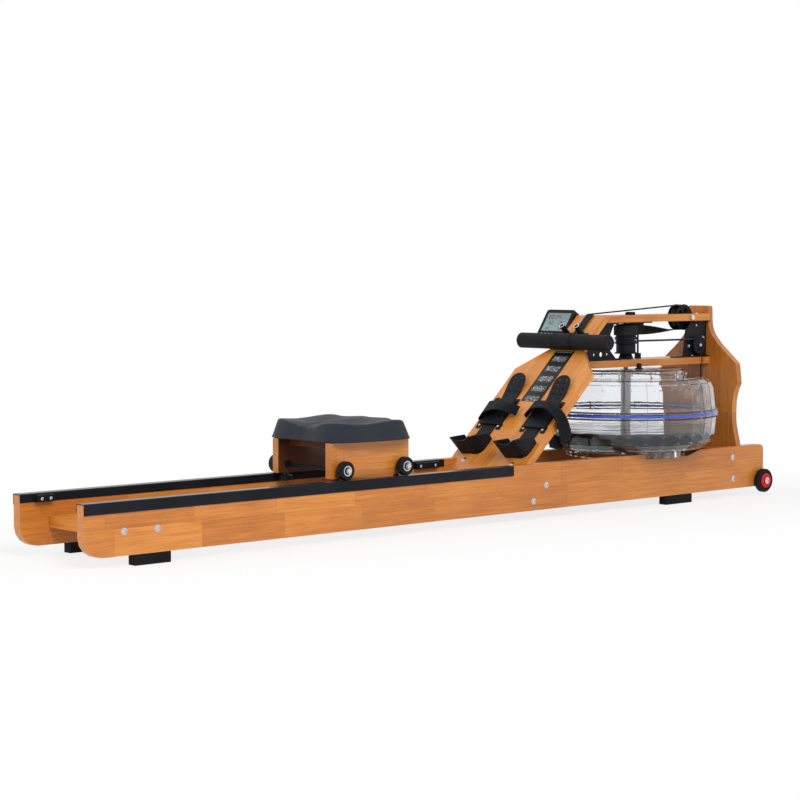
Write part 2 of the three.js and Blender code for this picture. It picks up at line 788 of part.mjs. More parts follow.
const shaftTopDrop = 2;
const stepDrop = lidEdge + restGap;
piece(tank, 'paddle_shaft', turnedZ([
  [0, bearingHeight - bearingDepth + restGap],
  [shaftRadius, bearingHeight - bearingDepth + restGap],
  [shaftRadius, bearingHeight + restGap],
  [tankShaftRadius, bearingHeight + restGap],
  [tankShaftRadius, lidTop - stepDrop],
  [shaftRadius, lidTop - stepDrop],
  [shaftRadius, footboardTop - shaftTopDrop],
  [0, footboardTop - shaftTopDrop],
]), steel);

// Upper bearing: a plate and boss in the top shelf, a cap bolt, two cheeks that guide the strap,
// and a post that stands on the lower shelf
const bearingPlateThickness = 3.4;
const bearingPlateRear = 20;
const bearingPlateNear = 18;
const bearingPlateFar = 31;
const cheekStart = 39;
const cheekEnd = 81;
const cheekThickness = 3;
const cheekBottom = 426;
const nearCheek = 12;
const capRadius = 13;
const capHeight = 7;
const capEdge = 2;
const postRadius = 2.5;
const postFootRadius = 8.5;
const postFootHeight = 13;

const plateTop = topShelfBottom - restGap;
const plateBottom = plateTop - bearingPlateThickness;
const capBottom = footboardTop + restGap;
const postX = (cheekStart + cheekEnd) / 2;
const postY = nearCheek + cheekThickness / 2;
const postFootBottom = lowerShelfTop + restGap;
const bearingBody = join(
  block(-bearingPlateRear, cheekEnd, -bearingPlateNear, bearingPlateFar, plateBottom, plateTop),
  rodZ(bearingBossRadius, plateBottom, footboardTop),
  rodZ(capBoltRadius, plateBottom, capBottom + capEdge, smallSides).translate(capBoltX - tankX, 0, 0),
  turnedZ([
    [0, capBottom],
    [capRadius, capBottom],
    [capRadius, capBottom + capHeight - capEdge],
    [capRadius - capEdge, capBottom + capHeight],
    [0, capBottom + capHeight],
  ]).translate(capBoltX - tankX, 0, 0),
  block(cheekStart, cheekEnd, nearCheek, nearCheek + cheekThickness, cheekBottom, plateTop),
  block(cheekStart, cheekEnd, bearingPlateFar - cheekThickness, bearingPlateFar, cheekBottom, plateTop),
  rodZ(postRadius, postFootBottom, cheekBottom + postFootHeight, smallSides).translate(postX, postY, 0),
  rodZ(postFootRadius, postFootBottom, postFootBottom + postFootHeight, smallSides)
    .translate(postX, postY, 0),
);
piece(tank, 'upper_bearing', cut(
  bearingBody,
  rodZ(shaftRadius + runGap, plateBottom - overrun, footboardTop + restGap / 2),
), blackPlastic);

// Strap pulley: two rims, a core for the strap, round windows, and its own axle in the top shelf
const strapThickness = 2;
const strapWidth = 25;
const strapCore = 30.6;
const rimWidth = 1.2;
const windowCount = 5;
const windowRadius = 7;
const windowPlace = 18;
const pulleyAxleHead = 6.5;
const pulleyAxleHeadLength = 5;

const axleEnd = shelfHalf + restGap;
const pulleyBody = turnedY([
  [0, -axleEnd - pulleyAxleHeadLength],
  [pulleyAxleHead, -axleEnd - pulleyAxleHeadLength],
  [pulleyAxleHead, -axleEnd],
  [pulleyAxleRadius, -axleEnd],
  [pulleyAxleRadius, -strapPulleyHalf],
  [strapPulleyRadius, -strapPulleyHalf],
  [strapPulleyRadius, rimWidth - strapPulleyHalf],
  [strapCore, rimWidth - strapPulleyHalf],
  [strapCore, strapPulleyHalf - rimWidth],
  [strapPulleyRadius, strapPulleyHalf - rimWidth],
  [strapPulleyRadius, strapPulleyHalf],
  [pulleyAxleRadius, strapPulleyHalf],
  [pulleyAxleRadius, axleEnd],
  [pulleyAxleHead, axleEnd],
  [pulleyAxleHead, axleEnd + pulleyAxleHeadLength],
  [0, axleEnd + pulleyAxleHeadLength],
], roundSides);
const windows = stepped(0, 2 * Math.PI, windowCount).slice(1).map((angle) => (
  rodY(windowRadius, -strapPulleyHalf - overrun, strapPulleyHalf + overrun, smallSides)
    .translate(windowPlace, 0, 0)
    .rotateY(angle)
));
piece(
  machine, 'strap_pulley', cut(pulleyBody, ...windows), blackPlastic,
  [strapPulleyX, 0, strapPulleyHeight],
);

// Cord pulleys: one under the top shelf, one low in front of the front crossboard
const cordPulleyRadius = 18;
const cordPulleyHalf = 6;
const cordPulleyGroove = 13;
const cordPulleyLip = 1.5;
const studRadius = 3;
const lowerPulleyHeight = 90;

const cordTurn = cordPulleyGroove + restGap + cordRadius;
const cordPulleyX = cordX - cordTurn;
const cordPulleyHeight = grooveHeight - cordTurn;
const cordPulleyProfile = [
  [studRadius + runGap, -cordPulleyHalf],
  [cordPulleyRadius, -cordPulleyHalf],
  [cordPulleyRadius, cordPulleyLip - cordPulleyHalf],
  [cordPulleyGroove, -cordRadius],
  [cordPulleyGroove, cordRadius],
  [cordPulleyRadius, cordPulleyHalf - cordPulleyLip],
  [cordPulleyRadius, cordPulleyHalf],
  [studRadius + runGap, cordPulleyHalf],
];
for (const [name, height] of [['bungee_pulley', cordPulleyHeight], ['lower_pulley', lowerPulleyHeight]]) {
  piece(machine, name, turnedY(cordPulleyProfile), blackPlastic, [cordPulleyX, -cordY, height]);
}

// Brackets that carry the cord pulleys on studs
const bracketPlate = 3;
const studNutRadius = 6;
const studNutLength = 4;
const bracketFoot = 12;
const pulleyBracketInset = 1;
const pulleyBracketFoot = 139;
const pulleyBracketNeck = 91;
const pulleyBracketShoulder = 82;
const pulleyBracketShoulderRise = 69;
const pulleyBracketHead = 59;
const lowerBracketLength = 36;
const lowerBracketHalf = 13;
const lowerBracketFootHalf = 20;
const lowerBracketFoot = 28;

const plateFar = cordPulleyHalf + runGap - cordY + bracketPlate;
const plateNear = plateFar - bracketPlate;
const studEnd = -cordY - cordPulleyHalf - runGap;
const stud = (height) => join(
  rodY(studRadius, studEnd - studNutLength / 2, plateFar - bracketPlate / 2, smallSides),
  rodY(studNutRadius, studEnd - studNutLength, studEnd, nutSides),
).translate(cordPulleyX, 0, height);
const flangeNear = plateFar - bracketPlate - bracketFoot;
const bracketFront = backboardX - pulleyBracketInset;
piece(machine, 'pulley_bracket', cut(join(
  alongY(outline([
    [bracketFront - pulleyBracketNeck, lowerShelfTop + restGap],
    [bracketFront, lowerShelfTop + restGap],
    [bracketFront, plateTop],
    [bracketFront - pulleyBracketHead, plateTop],
    [bracketFront - pulleyBracketShoulder, lowerShelfTop + pulleyBracketShoulderRise],
  ]), plateNear, plateFar),
  block(
    bracketFront - pulleyBracketFoot, bracketFront, flangeNear, plateFar,
    lowerShelfTop + restGap, lowerShelfTop + restGap + bracketPlate,
  ),
  block(
    bracketFront - pulleyBracketHead, bracketFront, flangeNear, plateFar,
    plateTop - bracketPlate, plateTop,
  ),
  stud(cordPulleyHeight),
), block(
  cordX - cordNotchRadius, cordX + cordNotchRadius, flangeNear - overrun, plateNear - restGap,
  lowerShelfTop - overrun, lowerShelfTop + restGap + bracketPlate + overrun,
)), blackMetal);

const lowerBracketFront = frontCrossRear - restGap;
piece(machine, 'lower_pulley_bracket', join(
  block(
    lowerBracketFront - lowerBracketLength, lowerBracketFront, plateNear, plateFar,
    lowerPulleyHeight - lowerBracketHalf, lowerPulleyHeight + lowerBracketHalf,
  ),
  block(
    lowerBracketFront - bracketPlate, lowerBracketFront, plateNear, plateFar + lowerBracketFoot,
    lowerPulleyHeight - lowerBracketFootHalf, lowerPulleyHeight + lowerBracketFootHalf,
  ),
  stud(lowerPulleyHeight),
), blackMetal);

// Pegs and the handle that hangs below them
const pegHeight = 420;
const pegY = 25;
const pegRadius = 7.25;
const pegLength = 37;
const pegEdge = 1;
const pegPlateHalf = 36;
const pegPlateWidth = 20;
const pegPlateThickness = 2;
const handleHeight = 381;
const handleLength = 308;
const handleRadius = 19.5;
const handleWrap = 1;
const handleWrapHalf = 30;
const handleEdge = 4;

const pegs = sides.map(([, sign]) => turnedZ([
  [0, restGap],
  [pegRadius, restGap],
  [pegRadius, pegLength - pegEdge],
  [pegRadius - pegEdge, pegLength],
  [0, pegLength],
], smallSides).translate(pegHeight, sign * pegY, 0));
piece(inclined, 'handle_rest', join(block(
  pegHeight - pegPlateWidth / 2, pegHeight + pegPlateWidth / 2, -pegPlateHalf, pegPlateHalf,
  restGap, restGap + pegPlateThickness,
), ...pegs), steel);

const faceUp = new THREE.Vector3(Math.cos(inclineAngle), 0, Math.sin(inclineAngle));
const faceOut = new THREE.Vector3(-Math.sin(inclineAngle), 0, Math.cos(inclineAngle));
const onFace = (up, out) => new THREE.Vector3(inclineX, 0, inclineHeight)
  .addScaledVector(faceUp, up).addScaledVector(faceOut, out);
const wrapRadius = handleRadius + handleWrap;
const handleOut = wrapRadius + restGap;
const handleHalf = handleLength / 2;
piece(machine, 'handle_grip', turnedY([
  [0, -handleHalf],
  [handleRadius - handleEdge, -handleHalf],
  [handleRadius, handleEdge - handleHalf],
  [handleRadius, -handleWrapHalf - handleWrap],
  [wrapRadius, -handleWrapHalf],
  [wrapRadius, handleWrapHalf],
  [handleRadius, handleWrapHalf + handleWrap],
  [handleRadius, handleHalf - handleEdge],
  [handleRadius - handleEdge, handleHalf],
  [0, handleHalf],
]), rubber, onFace(handleHeight, handleOut).toArray());

// Pull strap: from the handle up the neck, over its top to the pulley, round the pulley, through a quarter
// twist to the drum, and wound on the drum's core
const strapTurns = 1.2;
const strapPitch = 2.6;
const strapLift = 0.5;
const neckBend = 10;
const turnSteps = 20;
const pulleySteps = 10;
const bendSteps = 3;
const twistSteps = 8;
const twistStart = 84;

const strapClear = pegPlateThickness + restGap + strapLift + strapThickness / 2;
const pulleyTurn = strapCore + 0.2 * strapThickness + strapThickness / 2;
const windOuter = strapCoreRadius + 0.2 * strapThickness + strapThickness / 2 + strapTurns * strapPitch;
const strapDrumHeight = strapCoreBottom + strapThickness + strapWidth / 2;
const twistEndX = strapPulleyX - strapPulleyRadius - slotClearance;
const pulleyAway = twistEndX - tankX;
const leaveAngle = Math.acos(windOuter / pulleyAway);
const wound = stepped(leaveAngle + 2 * Math.PI * strapTurns, leaveAngle, Math.round(turnSteps * strapTurns))
  .map((angle) => {
    const radius = windOuter - strapPitch * (angle - leaveAngle) / (2 * Math.PI);
    const at = new THREE.Vector3(
      tankX + radius * Math.cos(angle), radius * Math.sin(angle), strapDrumHeight,
    );
    return { at, across: zAxis, width: strapWidth };
  });
let windingGap = Infinity;
wound.forEach(({ at }, i) => wound.slice(i + turnSteps / 2).forEach((other) => {
  windingGap = Math.min(windingGap, at.distanceTo(other.at) - strapThickness);
}));
console.log(`least gap in the strap's winding ${windingGap.toFixed(2)} mm`);
const twistEnd = new THREE.Vector3(twistEndX, 0, strapPulleyHeight - pulleyTurn);
const leaves = wound.at(-1).at;
const twist = stepped(twistStart / pulleyAway, 1, twistSteps).map((share, i) => {
  const angle = (Math.PI / 2) * (i / twistSteps);
  const across = new THREE.Vector3(0, Math.sin(angle), Math.cos(angle));
  return { at: leaves.clone().lerp(twistEnd, share), across, width: strapWidth };
});
const bendCentre = onFace(0, strapClear - neckBend);
bendCentre.z = footboardTop + strapClear - neckBend;
bendCentre.x = behindFace(bendCentre.z, neckBend - strapClear);
const pulleyCentre = new THREE.Vector3(strapPulleyX, 0, strapPulleyHeight);
const riseAngle = Math.asin((pulleyTurn - neckBend) / bendCentre.distanceTo(pulleyCentre));
const upright = Math.PI / 2;
const arc = (centre, radius, from, to, steps) => stepped(from, to, steps).map((angle) => ({
  at: new THREE.Vector3(centre.x + radius * Math.cos(angle), 0, centre.z + radius * Math.sin(angle)),
  across: yAxis,
  width: strapWidth,
}));
const besideWrap = Math.sqrt(wrapRadius ** 2 - (handleOut - strapClear - strapThickness / 2) ** 2);
const strapEnd = onFace(handleHeight + besideWrap + strapLift, strapClear);
piece(machine, 'pull_strap', band([
  ...wound,
  ...twist,
  ...arc(pulleyCentre, pulleyTurn, -upright, upright + riseAngle, pulleySteps),
  ...arc(bendCentre, neckBend, upright + riseAngle, upright + inclineAngle, bendSteps),
  { at: strapEnd, across: yAxis, width: strapWidth },
], strapThickness), webbing);

// Elastic cord: half a turn in the drum's groove, over the upper pulley, down to the lower pulley, and under
// the tank to the middle crossboard
const cordSides = 8;
const cordHeight = 71.5;
const cordEndReach = 70;
const cordEndX = inclineX + cordEndReach;
const grooveTurn = grooveRadius + restGap + cordRadius;
const cordRoute = [
  ...stepped(-Math.PI * 1.5, -Math.PI / 2, 9).map((angle) => new THREE.Vector3(
    tankX + grooveTurn * Math.cos(angle), grooveTurn * Math.sin(angle), grooveHeight,
  )),
  ...stepped(Math.PI / 2, 0, 4).map((angle) => new THREE.Vector3(
    cordPulleyX + cordTurn * Math.cos(angle), -cordY, cordPulleyHeight + cordTurn * Math.sin(angle),
  )),
  ...stepped(0, -Math.PI / 2, 4).map((angle) => new THREE.Vector3(
    cordPulleyX + cordTurn * Math.cos(angle), -cordY, lowerPulleyHeight + cordTurn * Math.sin(angle),
  )),
  new THREE.Vector3(cordEndX, -cordY, cordHeight),
];

class Route extends THREE.Curve {
  constructor(stations) {
    super();
    this.stations = stations;
  }

  getPoint(share, target = new THREE.Vector3()) {
    const place = share * (this.stations.length - 1);
    const from = Math.min(Math.floor(place), this.stations.length - 2);
    return target.lerpVectors(this.stations[from], this.stations[from + 1], place - from);
  }

  // The route's steps fall on its own stations, so its length isn't evened out
  getPointAt(share, target) {
    return this.getPoint(share, target);
  }

  getSpacedPoints(steps) {
    return this.getPoints(steps);
  }

  getTangentAt(share, target = new THREE.Vector3()) {
    const near = 1 / (2 * (this.stations.length - 1));
    const ahead = this.getPoint(Math.min(share + near, 1));
    return target.subVectors(ahead, this.getPoint(Math.max(share - near, 0))).normalize();
  }
}
const cordSection = new THREE.Shape(stepped(0, 2 * Math.PI, cordSides).slice(1).map((angle) => (
  new THREE.Vector2(cordRadius * Math.cos(angle), cordRadius * Math.sin(angle))
)));
piece(machine, 'bungee_cord', new THREE.ExtrudeGeometry(cordSection, {
  extrudePath: new Route(cordRoute),
  steps: cordRoute.length - 1,
}), rubber);

// Seat: two carriage boards on axles with rollers, guide wheels below them, a base board and a cushion
const carriageLength = 225;
const carriageTop = 214;
const carriageLift = 3;
const carriageThickness = 21;
const carriageOuter = 105;
const axleSpacing = 173;
const rollerRadius = 21;
const rollerHalf = 8;
const rollerEdge = 2;
const rollerY = 122;
const seatAxleRadius = 4;
const collarRadius = 9;
const axleNutRadius = 6.5;
const axleNutLength = 3.5;
const guideRadius = 16;
const guideThickness = 10;
const guideBottom = 119;
const guideClear = 0.4;
const guidePinRadius = 4;
const guideWasherRadius = 7;
const guideWasher = 2;
const seatBaseThickness = 16;

const seat = new THREE.Group();
seat.position.x = seatX;
machine.add(seat);
const carriageBottom = boardTop + carriageLift;
const carriageInner = carriageOuter - carriageThickness;
const axleHeight = boardTop + restGap + rollerRadius;
const guideY = railInner - guideClear - guideRadius;
const axlePlaces = [['rear', -axleSpacing / 2], ['front', axleSpacing / 2]];
for (const [side, sign] of sides) {
  const [low, high] = [sign * carriageInner, sign * carriageOuter].sort((a, b) => a - b);
  const pins = axlePlaces.map(([, x]) => turnedZ([
    [0, guideBottom - restGap - guideWasher],
    [guideWasherRadius, guideBottom - restGap - guideWasher],
    [guideWasherRadius, guideBottom - restGap],
    [guidePinRadius, guideBottom - restGap],
    [guidePinRadius, guideBottom + guideThickness + restGap],
    [guideWasherRadius, guideBottom + guideThickness + restGap],
    [guideWasherRadius, carriageBottom + guideWasher],
    [0, carriageBottom + guideWasher],
  ], smallSides).translate(x, sign * guideY, 0));
  const bores = axlePlaces.map(([, x]) => (
    rodY(seatAxleRadius + runGap, low - overrun, high + overrun, smallSides).translate(x, 0, axleHeight)
  ));
  const board = block(-carriageLength / 2, carriageLength / 2, low, high, carriageBottom, carriageTop);
  piece(seat, `${side}_carriage_board`, cut(join(board, ...pins), ...bores), wood);
}
for (const [end, x] of axlePlaces) {
  const collarEnd = rollerY - rollerHalf - restGap;
  const nutStart = rollerY + rollerHalf + restGap;
  const halfAxle = [
    [seatAxleRadius, carriageInner - restGap - collarRadius],
    [seatAxleRadius, carriageOuter + restGap],
    [collarRadius, carriageOuter + restGap],
    [collarRadius, collarEnd],
    [seatAxleRadius, collarEnd],
    [seatAxleRadius, nutStart],
    [axleNutRadius, nutStart],
    [axleNutRadius, nutStart + axleNutLength],
    [0, nutStart + axleNutLength],
  ];
  const otherHalf = halfAxle.map(([radius, y]) => [radius, -y]).reverse();
  piece(seat, `${end}_axle`, turnedY([...otherHalf, ...halfAxle], smallSides), steel, [x, 0, axleHeight]);
  for (const [side, sign] of sides) {
    piece(seat, `${end}_${side}_roller`, turnedY([
      [seatAxleRadius + runGap, -rollerHalf],
      [rollerRadius - rollerEdge, -rollerHalf],
      [rollerRadius, rollerEdge - rollerHalf],
      [rollerRadius, rollerHalf - rollerEdge],
      [rollerRadius - rollerEdge, rollerHalf],
      [seatAxleRadius + runGap, rollerHalf],
    ]), blackPlastic, [x, sign * rollerY, axleHeight]);
    piece(seat, `${end}_${side}_guide_wheel`, turnedZ(
      ring(guidePinRadius + runGap, guideRadius, 0, guideThickness),
    ), blackPlastic, [x, sign * guideY, guideBottom]);
  }
}
piece(seat, 'seat_base', block(
  -carriageLength / 2, carriageLength / 2, restGap - carriageInner, carriageInner - restGap,
  carriageTop - seatBaseThickness, carriageTop,
), wood);

// Cushion: sides that slope in, a wavy crown with two recesses, and a scalloped rear edge
const cushionLength = 245;
const cushionWidth = 280;
const cushionEdge = 41;
const cushionSlope = 12;
const cushionCorner = 4.5;
const cushionCrown = 8;
const recessDepth = 9;
const recessPlace = 62;
const recessReach = 52;
const scallopDepth = 9;
const scallopReach = 45;
const cushionFaces = 44;
const cushionRings = [0.22, 0.42, 0.6, 0.76, 0.9, 1];
const cushionRoundShares = [[0.35, 0.1], [1, 0.92]];

const cushionBottom = carriageTop + restGap;
function cushionPoint(angle, share, inset, height) {
  const squared = (value, half) => Math.sign(value) * Math.abs(value) ** (2 / cushionCorner) * half;
  const y = squared(Math.sin(angle), cushionWidth / 2 - inset) * share;
  const dent = scallopDepth * Math.exp(-((y / scallopReach) ** 2)) * share;
  const x = squared(Math.cos(angle), cushionLength / 2 - inset - dent) * share;
  return [x, y, height(x, y)];
}
function cushionTop(x, y) {
  const across = 2 * y / cushionWidth;
  const along = 2 * x / cushionLength;
  const ridge = cushionCrown * (1 - across ** 2) * (0.4 + 0.6 * along ** 2);
  const hollow = (sign) => Math.exp(-(((y - sign * recessPlace) ** 2 + x ** 2) / recessReach ** 2));
  return cushionBottom + cushionEdge + ridge - recessDepth * (hollow(1) + hollow(-1));
}
const cushionLayers = [
  ...cushionRings.map((share) => [share, cushionSlope, cushionTop]),
  ...cushionRoundShares.map(([out, down]) => [
    1, cushionSlope * (1 - out), (x, y) => cushionTop(x, y) - down * (cushionTop(x, y) - cushionBottom),
  ]),
  [1, 0, () => cushionBottom],
];
const cushionCorners = [[0, 0, cushionTop(0, 0)]];
for (const [share, inset, height] of cushionLayers) {
  for (const angle of stepped(0, 2 * Math.PI, cushionFaces).slice(1)) {
    cushionCorners.push(cushionPoint(angle, share, inset, height));
  }
}
cushionCorners.push([0, 0, cushionBottom]);
const cushionIndex = [];
const lastCorner = cushionCorners.length - 1;
for (let k = 0; k < cushionFaces; k += 1) {
  const next = (k + 1) % cushionFaces;
  cushionIndex.push(0, 1 + k, 1 + next);
  for (let layer = 0; layer + 1 < cushionLayers.length; layer += 1) {
    const [inside, outside] = [1 + layer * cushionFaces, 1 + (layer + 1) * cushionFaces];
    cushionIndex.push(inside + k, outside + k, outside + next, inside + k, outside + next, inside + next);
  }
  const rim = 1 + (cushionLayers.length - 1) * cushionFaces;
  cushionIndex.push(rim + k, lastCorner, rim + next);
}
const cushion = new THREE.BufferGeometry();
cushion.setAttribute('position', new THREE.Float32BufferAttribute(cushionCorners.flat(), 3));
cushion.setIndex(cushionIndex);
piece(seat, 'seat_cushion', cushion, upholstery);

// Foot rests: a bridge screwed to the footboard, a heel slider whose strip runs through it, and a strap
const footY = 77;
const bridgeLow = 108;
const bridgeHigh = 190;
const bridgeHalf = 37.5;
const bridgeHeight = 9;
const bridgeRoof = 3;
const bridgeEdge = 3;
const channelHalf = 28.5;
const channelHeight = 4.2;
const earPlaces = [106, 189];
const earY = 32.5;
const earHalf = 9;
const earThickness = 3;
const screwHoleRadius = 2.5;
const stripThickness = 2.5;
const stripLift = 0.6;
const stripHalf = 27;
const lowerStripHalf = 22.5;
const stripBend = 215;
const stripTop = 272;
const stripRise = 15;
const stripHoleRadius = 2.6;
const stripHolePitch = 13;
const stripHoleRows = 5;
const stripHoleY = 12;
const stripHoleTop = 260;
const cupLow = 14;
const cupHigh = 75;
const cupHalf = 40;
const cupWall = 3;
const cupHeight = 60;
const cupScoop = 20;
const cupTip = 6;
const cupLean = 8;
const strapBandThickness = 3;
const strapFoot = 43;
const leftStrapPlace = 149;
const leftStrapArch = 30;
const leftStrapWide = 56;
const leftStrapEnd = 28;
const rightStrapPlace = 163;
const rightStrapArch = 36;
const rightStrapWide = 46;
const rightStrapEnd = 36;
const archSteps = 10;
const tailDrop = 52;
const tailLean = 14;

function heelSlider() {
  const side = alongY(outline([
    [cupLow, stripLift],
    [stripBend, stripLift],
    [stripTop, stripLift + stripRise],
    [stripTop, stripLift + stripRise + stripThickness],
    [stripBend, stripLift + stripThickness],
    [cupLow, stripLift + stripThickness],
  ]), -cupHalf, cupHalf);
  const plan = alongZ(outline([
    [cupLow, -cupHalf, cupHalf / 2],
    [cupHigh - cupHalf / 4, -cupHalf, cupTip],
    [cupHigh, -lowerStripHalf],
    [bridgeHigh, -lowerStripHalf],
    [stripBend, -stripHalf],
    [stripTop, -stripHalf, stripHalf - bridgeEdge],
    [stripTop, stripHalf, stripHalf - bridgeEdge],
    [stripBend, stripHalf],
    [bridgeHigh, lowerStripHalf],
    [cupHigh, lowerStripHalf],
    [cupHigh - cupHalf / 4, cupHalf, cupTip],
    [cupLow, cupHalf, cupHalf / 2],
  ]), 0, cupHeight);
  const holes = [];
  for (let row = 0; row < stripHoleRows; row += 1) {
    for (const [, sign] of sides) {
      holes.push(rodZ(stripHoleRadius, 0, cupHeight, nutSides)
        .translate(stripHoleTop - row * stripHolePitch, sign * stripHoleY, 0));
    }
  }
  const cupOutline = (inset) => outline([
    [cupLow + inset, -cupHalf + inset, cupHalf / 2],
    [cupHigh - cupHalf / 4, -cupHalf + inset],
    [cupHigh - cupHalf / 4, cupHalf - inset],
    [cupLow + inset, cupHalf - inset, cupHalf / 2],
  ]);
  const wallBottom = stripLift + stripThickness / 2;
  const flare = new THREE.Matrix4().makeShear(0, 0, -cupLean / cupHeight, 0, 0, 0);
  const wall = cut(
    alongZ(cupOutline(0), wallBottom, cupHeight),
    alongZ(cupOutline(cupWall), wallBottom - overrun, cupHeight + overrun),
    block(
      cupHigh - cupHalf / 4 - cupWall, cupHigh + cupHalf, -cupHalf, cupHalf,
      -overrun, cupHeight + overrun,
    ),
    alongY(outline([
      [cupLow, cupHeight],
      [cupLow - overrun, cupHeight + overrun],
      [cupHigh, cupHeight + overrun],
      [cupHigh, stripLift + stripThickness + cupTip],
    ]), -cupHalf - overrun, cupHalf + overrun),
    alongX(outline([
      [-cupHalf, cupHeight + overrun],
      [0, cupHeight - cupScoop, cupHalf],
      [cupHalf, cupHeight + overrun],
    ]), -overrun, cupLow + cupHalf / 2),
  ).applyMatrix4(flare);
  return join(cut(common(side, plan), ...holes), wall);
}

function footPlate() {
  const bridge = alongX(outline([
    [-bridgeHalf, restGap],
    [-channelHalf, restGap],
    [-channelHalf, channelHeight],
    [channelHalf, channelHeight],
    [channelHalf, restGap],
    [bridgeHalf, restGap],
    [bridgeHalf, bridgeHeight, bridgeEdge],
    [-bridgeHalf, bridgeHeight, bridgeEdge],
  ]), bridgeLow, bridgeHigh);
  const ears = [];
  const holes = [];
  for (const place of earPlaces) {
    for (const [, sign] of sides) {
      ears.push(block(
        place - earHalf, place + earHalf, sign * (channelHalf + restGap), sign * (earY + earHalf),
        restGap, restGap + earThickness,
      ));
      const hole = rodZ(screwHoleRadius, -overrun, bridgeHeight + overrun, holeSides);
      holes.push(hole.translate(place, sign * earY, 0));
    }
  }
  return cut(join(bridge, ...ears), ...holes);
}

// The strap rises beside the bridge, arches over it to its reach and ends in a free tail; its stations
// give the place sideways, the place out of the face, the width and the drift down the slope
function footStrap({ place, foot, reach, arch, wide, narrow, tail }) {
  const middle = (foot + reach) / 2;
  const rise = stepped(0, Math.PI, archSteps).map((angle, i) => {
    const width = wide + (narrow - wide) * i / archSteps;
    const out = bridgeHeight / 2 + (arch - bridgeHeight / 2) * Math.sin(angle) ** 0.7;
    return [middle + (foot - middle) * Math.cos(angle), out, width, tail.length * tailLean * i / archSteps / 2];
  });
  return band([[foot, restGap, wide, 0], ...rise, ...tail].map(([y, out, width, drift]) => ({
    at: new THREE.Vector3(place - drift, y, out), across: xAxis, width,
  })), strapBandThickness);
}

const overEdge = footY - footboardHalf - 3 * strapBandThickness;
const footStraps = {
  left: {
    place: leftStrapPlace,
    foot: strapFoot,
    reach: -footY,
    arch: leftStrapArch,
    wide: leftStrapWide,
    narrow: leftStrapEnd,
    tail: [],
  },
  right: {
    place: rightStrapPlace,
    foot: strapFoot + strapBandThickness / 2,
    reach: overEdge,
    arch: rightStrapArch,
    wide: rightStrapWide,
    narrow: rightStrapEnd,
    tail: [
      [overEdge - strapBandThickness, -footboardThickness, rightStrapEnd, 1.5 * tailLean],
      [overEdge, -tailDrop, rightStrapEnd, 2.5 * tailLean],
    ],
  },
};
for (const [side, sign] of sides) {
  const footRest = new THREE.Group();
  footRest.position.y = sign * footY;
  inclined.add(footRest);
  piece(footRest, `${side}_foot_plate`, footPlate(), blackPlastic);
  piece(footRest, `${side}_heel_slider`, heelSlider(), blackPlastic);
  piece(footRest, `${side}_foot_strap`, footStrap(footStraps[side]), webbing);
}

// Monitor beside the neck, on an arm from the top shelf's edge
const monitorSetback = 132;
const monitorRise = 13.5;
const monitorTilt = THREE.MathUtils.degToRad(57);
const monitorNearY = 50;
const monitorWidth = 100;
const monitorHeight = 85;
const monitorThickness = 18;
const monitorRadius = 8;
const screenWidth = 80;
const screenHeight = 53;
const screenMargin = 10;
const screenThickness = 2;
const armWidth = 14;
const armHeight = 12;
const armReach = 30;
const armRise = 3;

const monitorTopX = tankX - monitorSetback;
const monitor = new THREE.Group();
monitor.position.set(monitorTopX, monitorNearY + monitorWidth / 2, footboardTop + monitorRise);
monitor.rotation.y = -monitorTilt;
machine.add(monitor);
const monitorMatrix = new THREE.Matrix4().makeRotationY(-monitorTilt);
monitorMatrix.setPosition(monitor.position);
const armBottom = topShelfBottom + armRise;
const armX = behindFace(armBottom, neckSeat) + armWidth;
const screenBack = -screenThickness - restGap;
const screenPocket = block(
  -screenMargin - screenHeight - restGap, restGap - screenMargin,
  -screenWidth / 2 - restGap, screenWidth / 2 + restGap, screenBack, overrun,
);
const armTop = armBottom + armHeight;
const armSide = monitorNearY + armWidth;
const arm = join(
  block(monitorTopX, armX + armReach, monitorNearY + restGap, armSide, armBottom, armTop),
  block(armX, armX + armReach, shelfHalf + restGap, armSide, armBottom, armTop),
).applyMatrix4(monitorMatrix.clone().invert());
piece(monitor, 'monitor_housing', cut(join(
  alongZ(outline([
    [-monitorHeight, -monitorWidth / 2, monitorRadius],
    [0, -monitorWidth / 2, monitorRadius],
    [0, monitorWidth / 2, monitorRadius],
    [-monitorHeight, monitorWidth / 2, monitorRadius],
  ]), -monitorThickness, 0),
  arm,
), screenPocket), blackPlastic);
piece(monitor, 'monitor_screen', block(
  -screenMargin - screenHeight, -screenMargin, -screenWidth / 2, screenWidth / 2, -screenThickness, 0,
), screenLook);
export default machine;
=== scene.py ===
# %% [markdown]
# # Dressing a water rowing machine
# The machine is a pair of long oiled boards with a rolling seat, an inclined footboard and a clear round
# tank. A CAD model already gives every solid its place. This lesson gives each of them a real finish, and
# models what the solids only stand for: the seat's pad, the straps, the elastic cord and the small fittings.

# %% Load the fixed frame
import math

import bmesh
import bpy
import numpy as np
from mathutils import Matrix, Vector


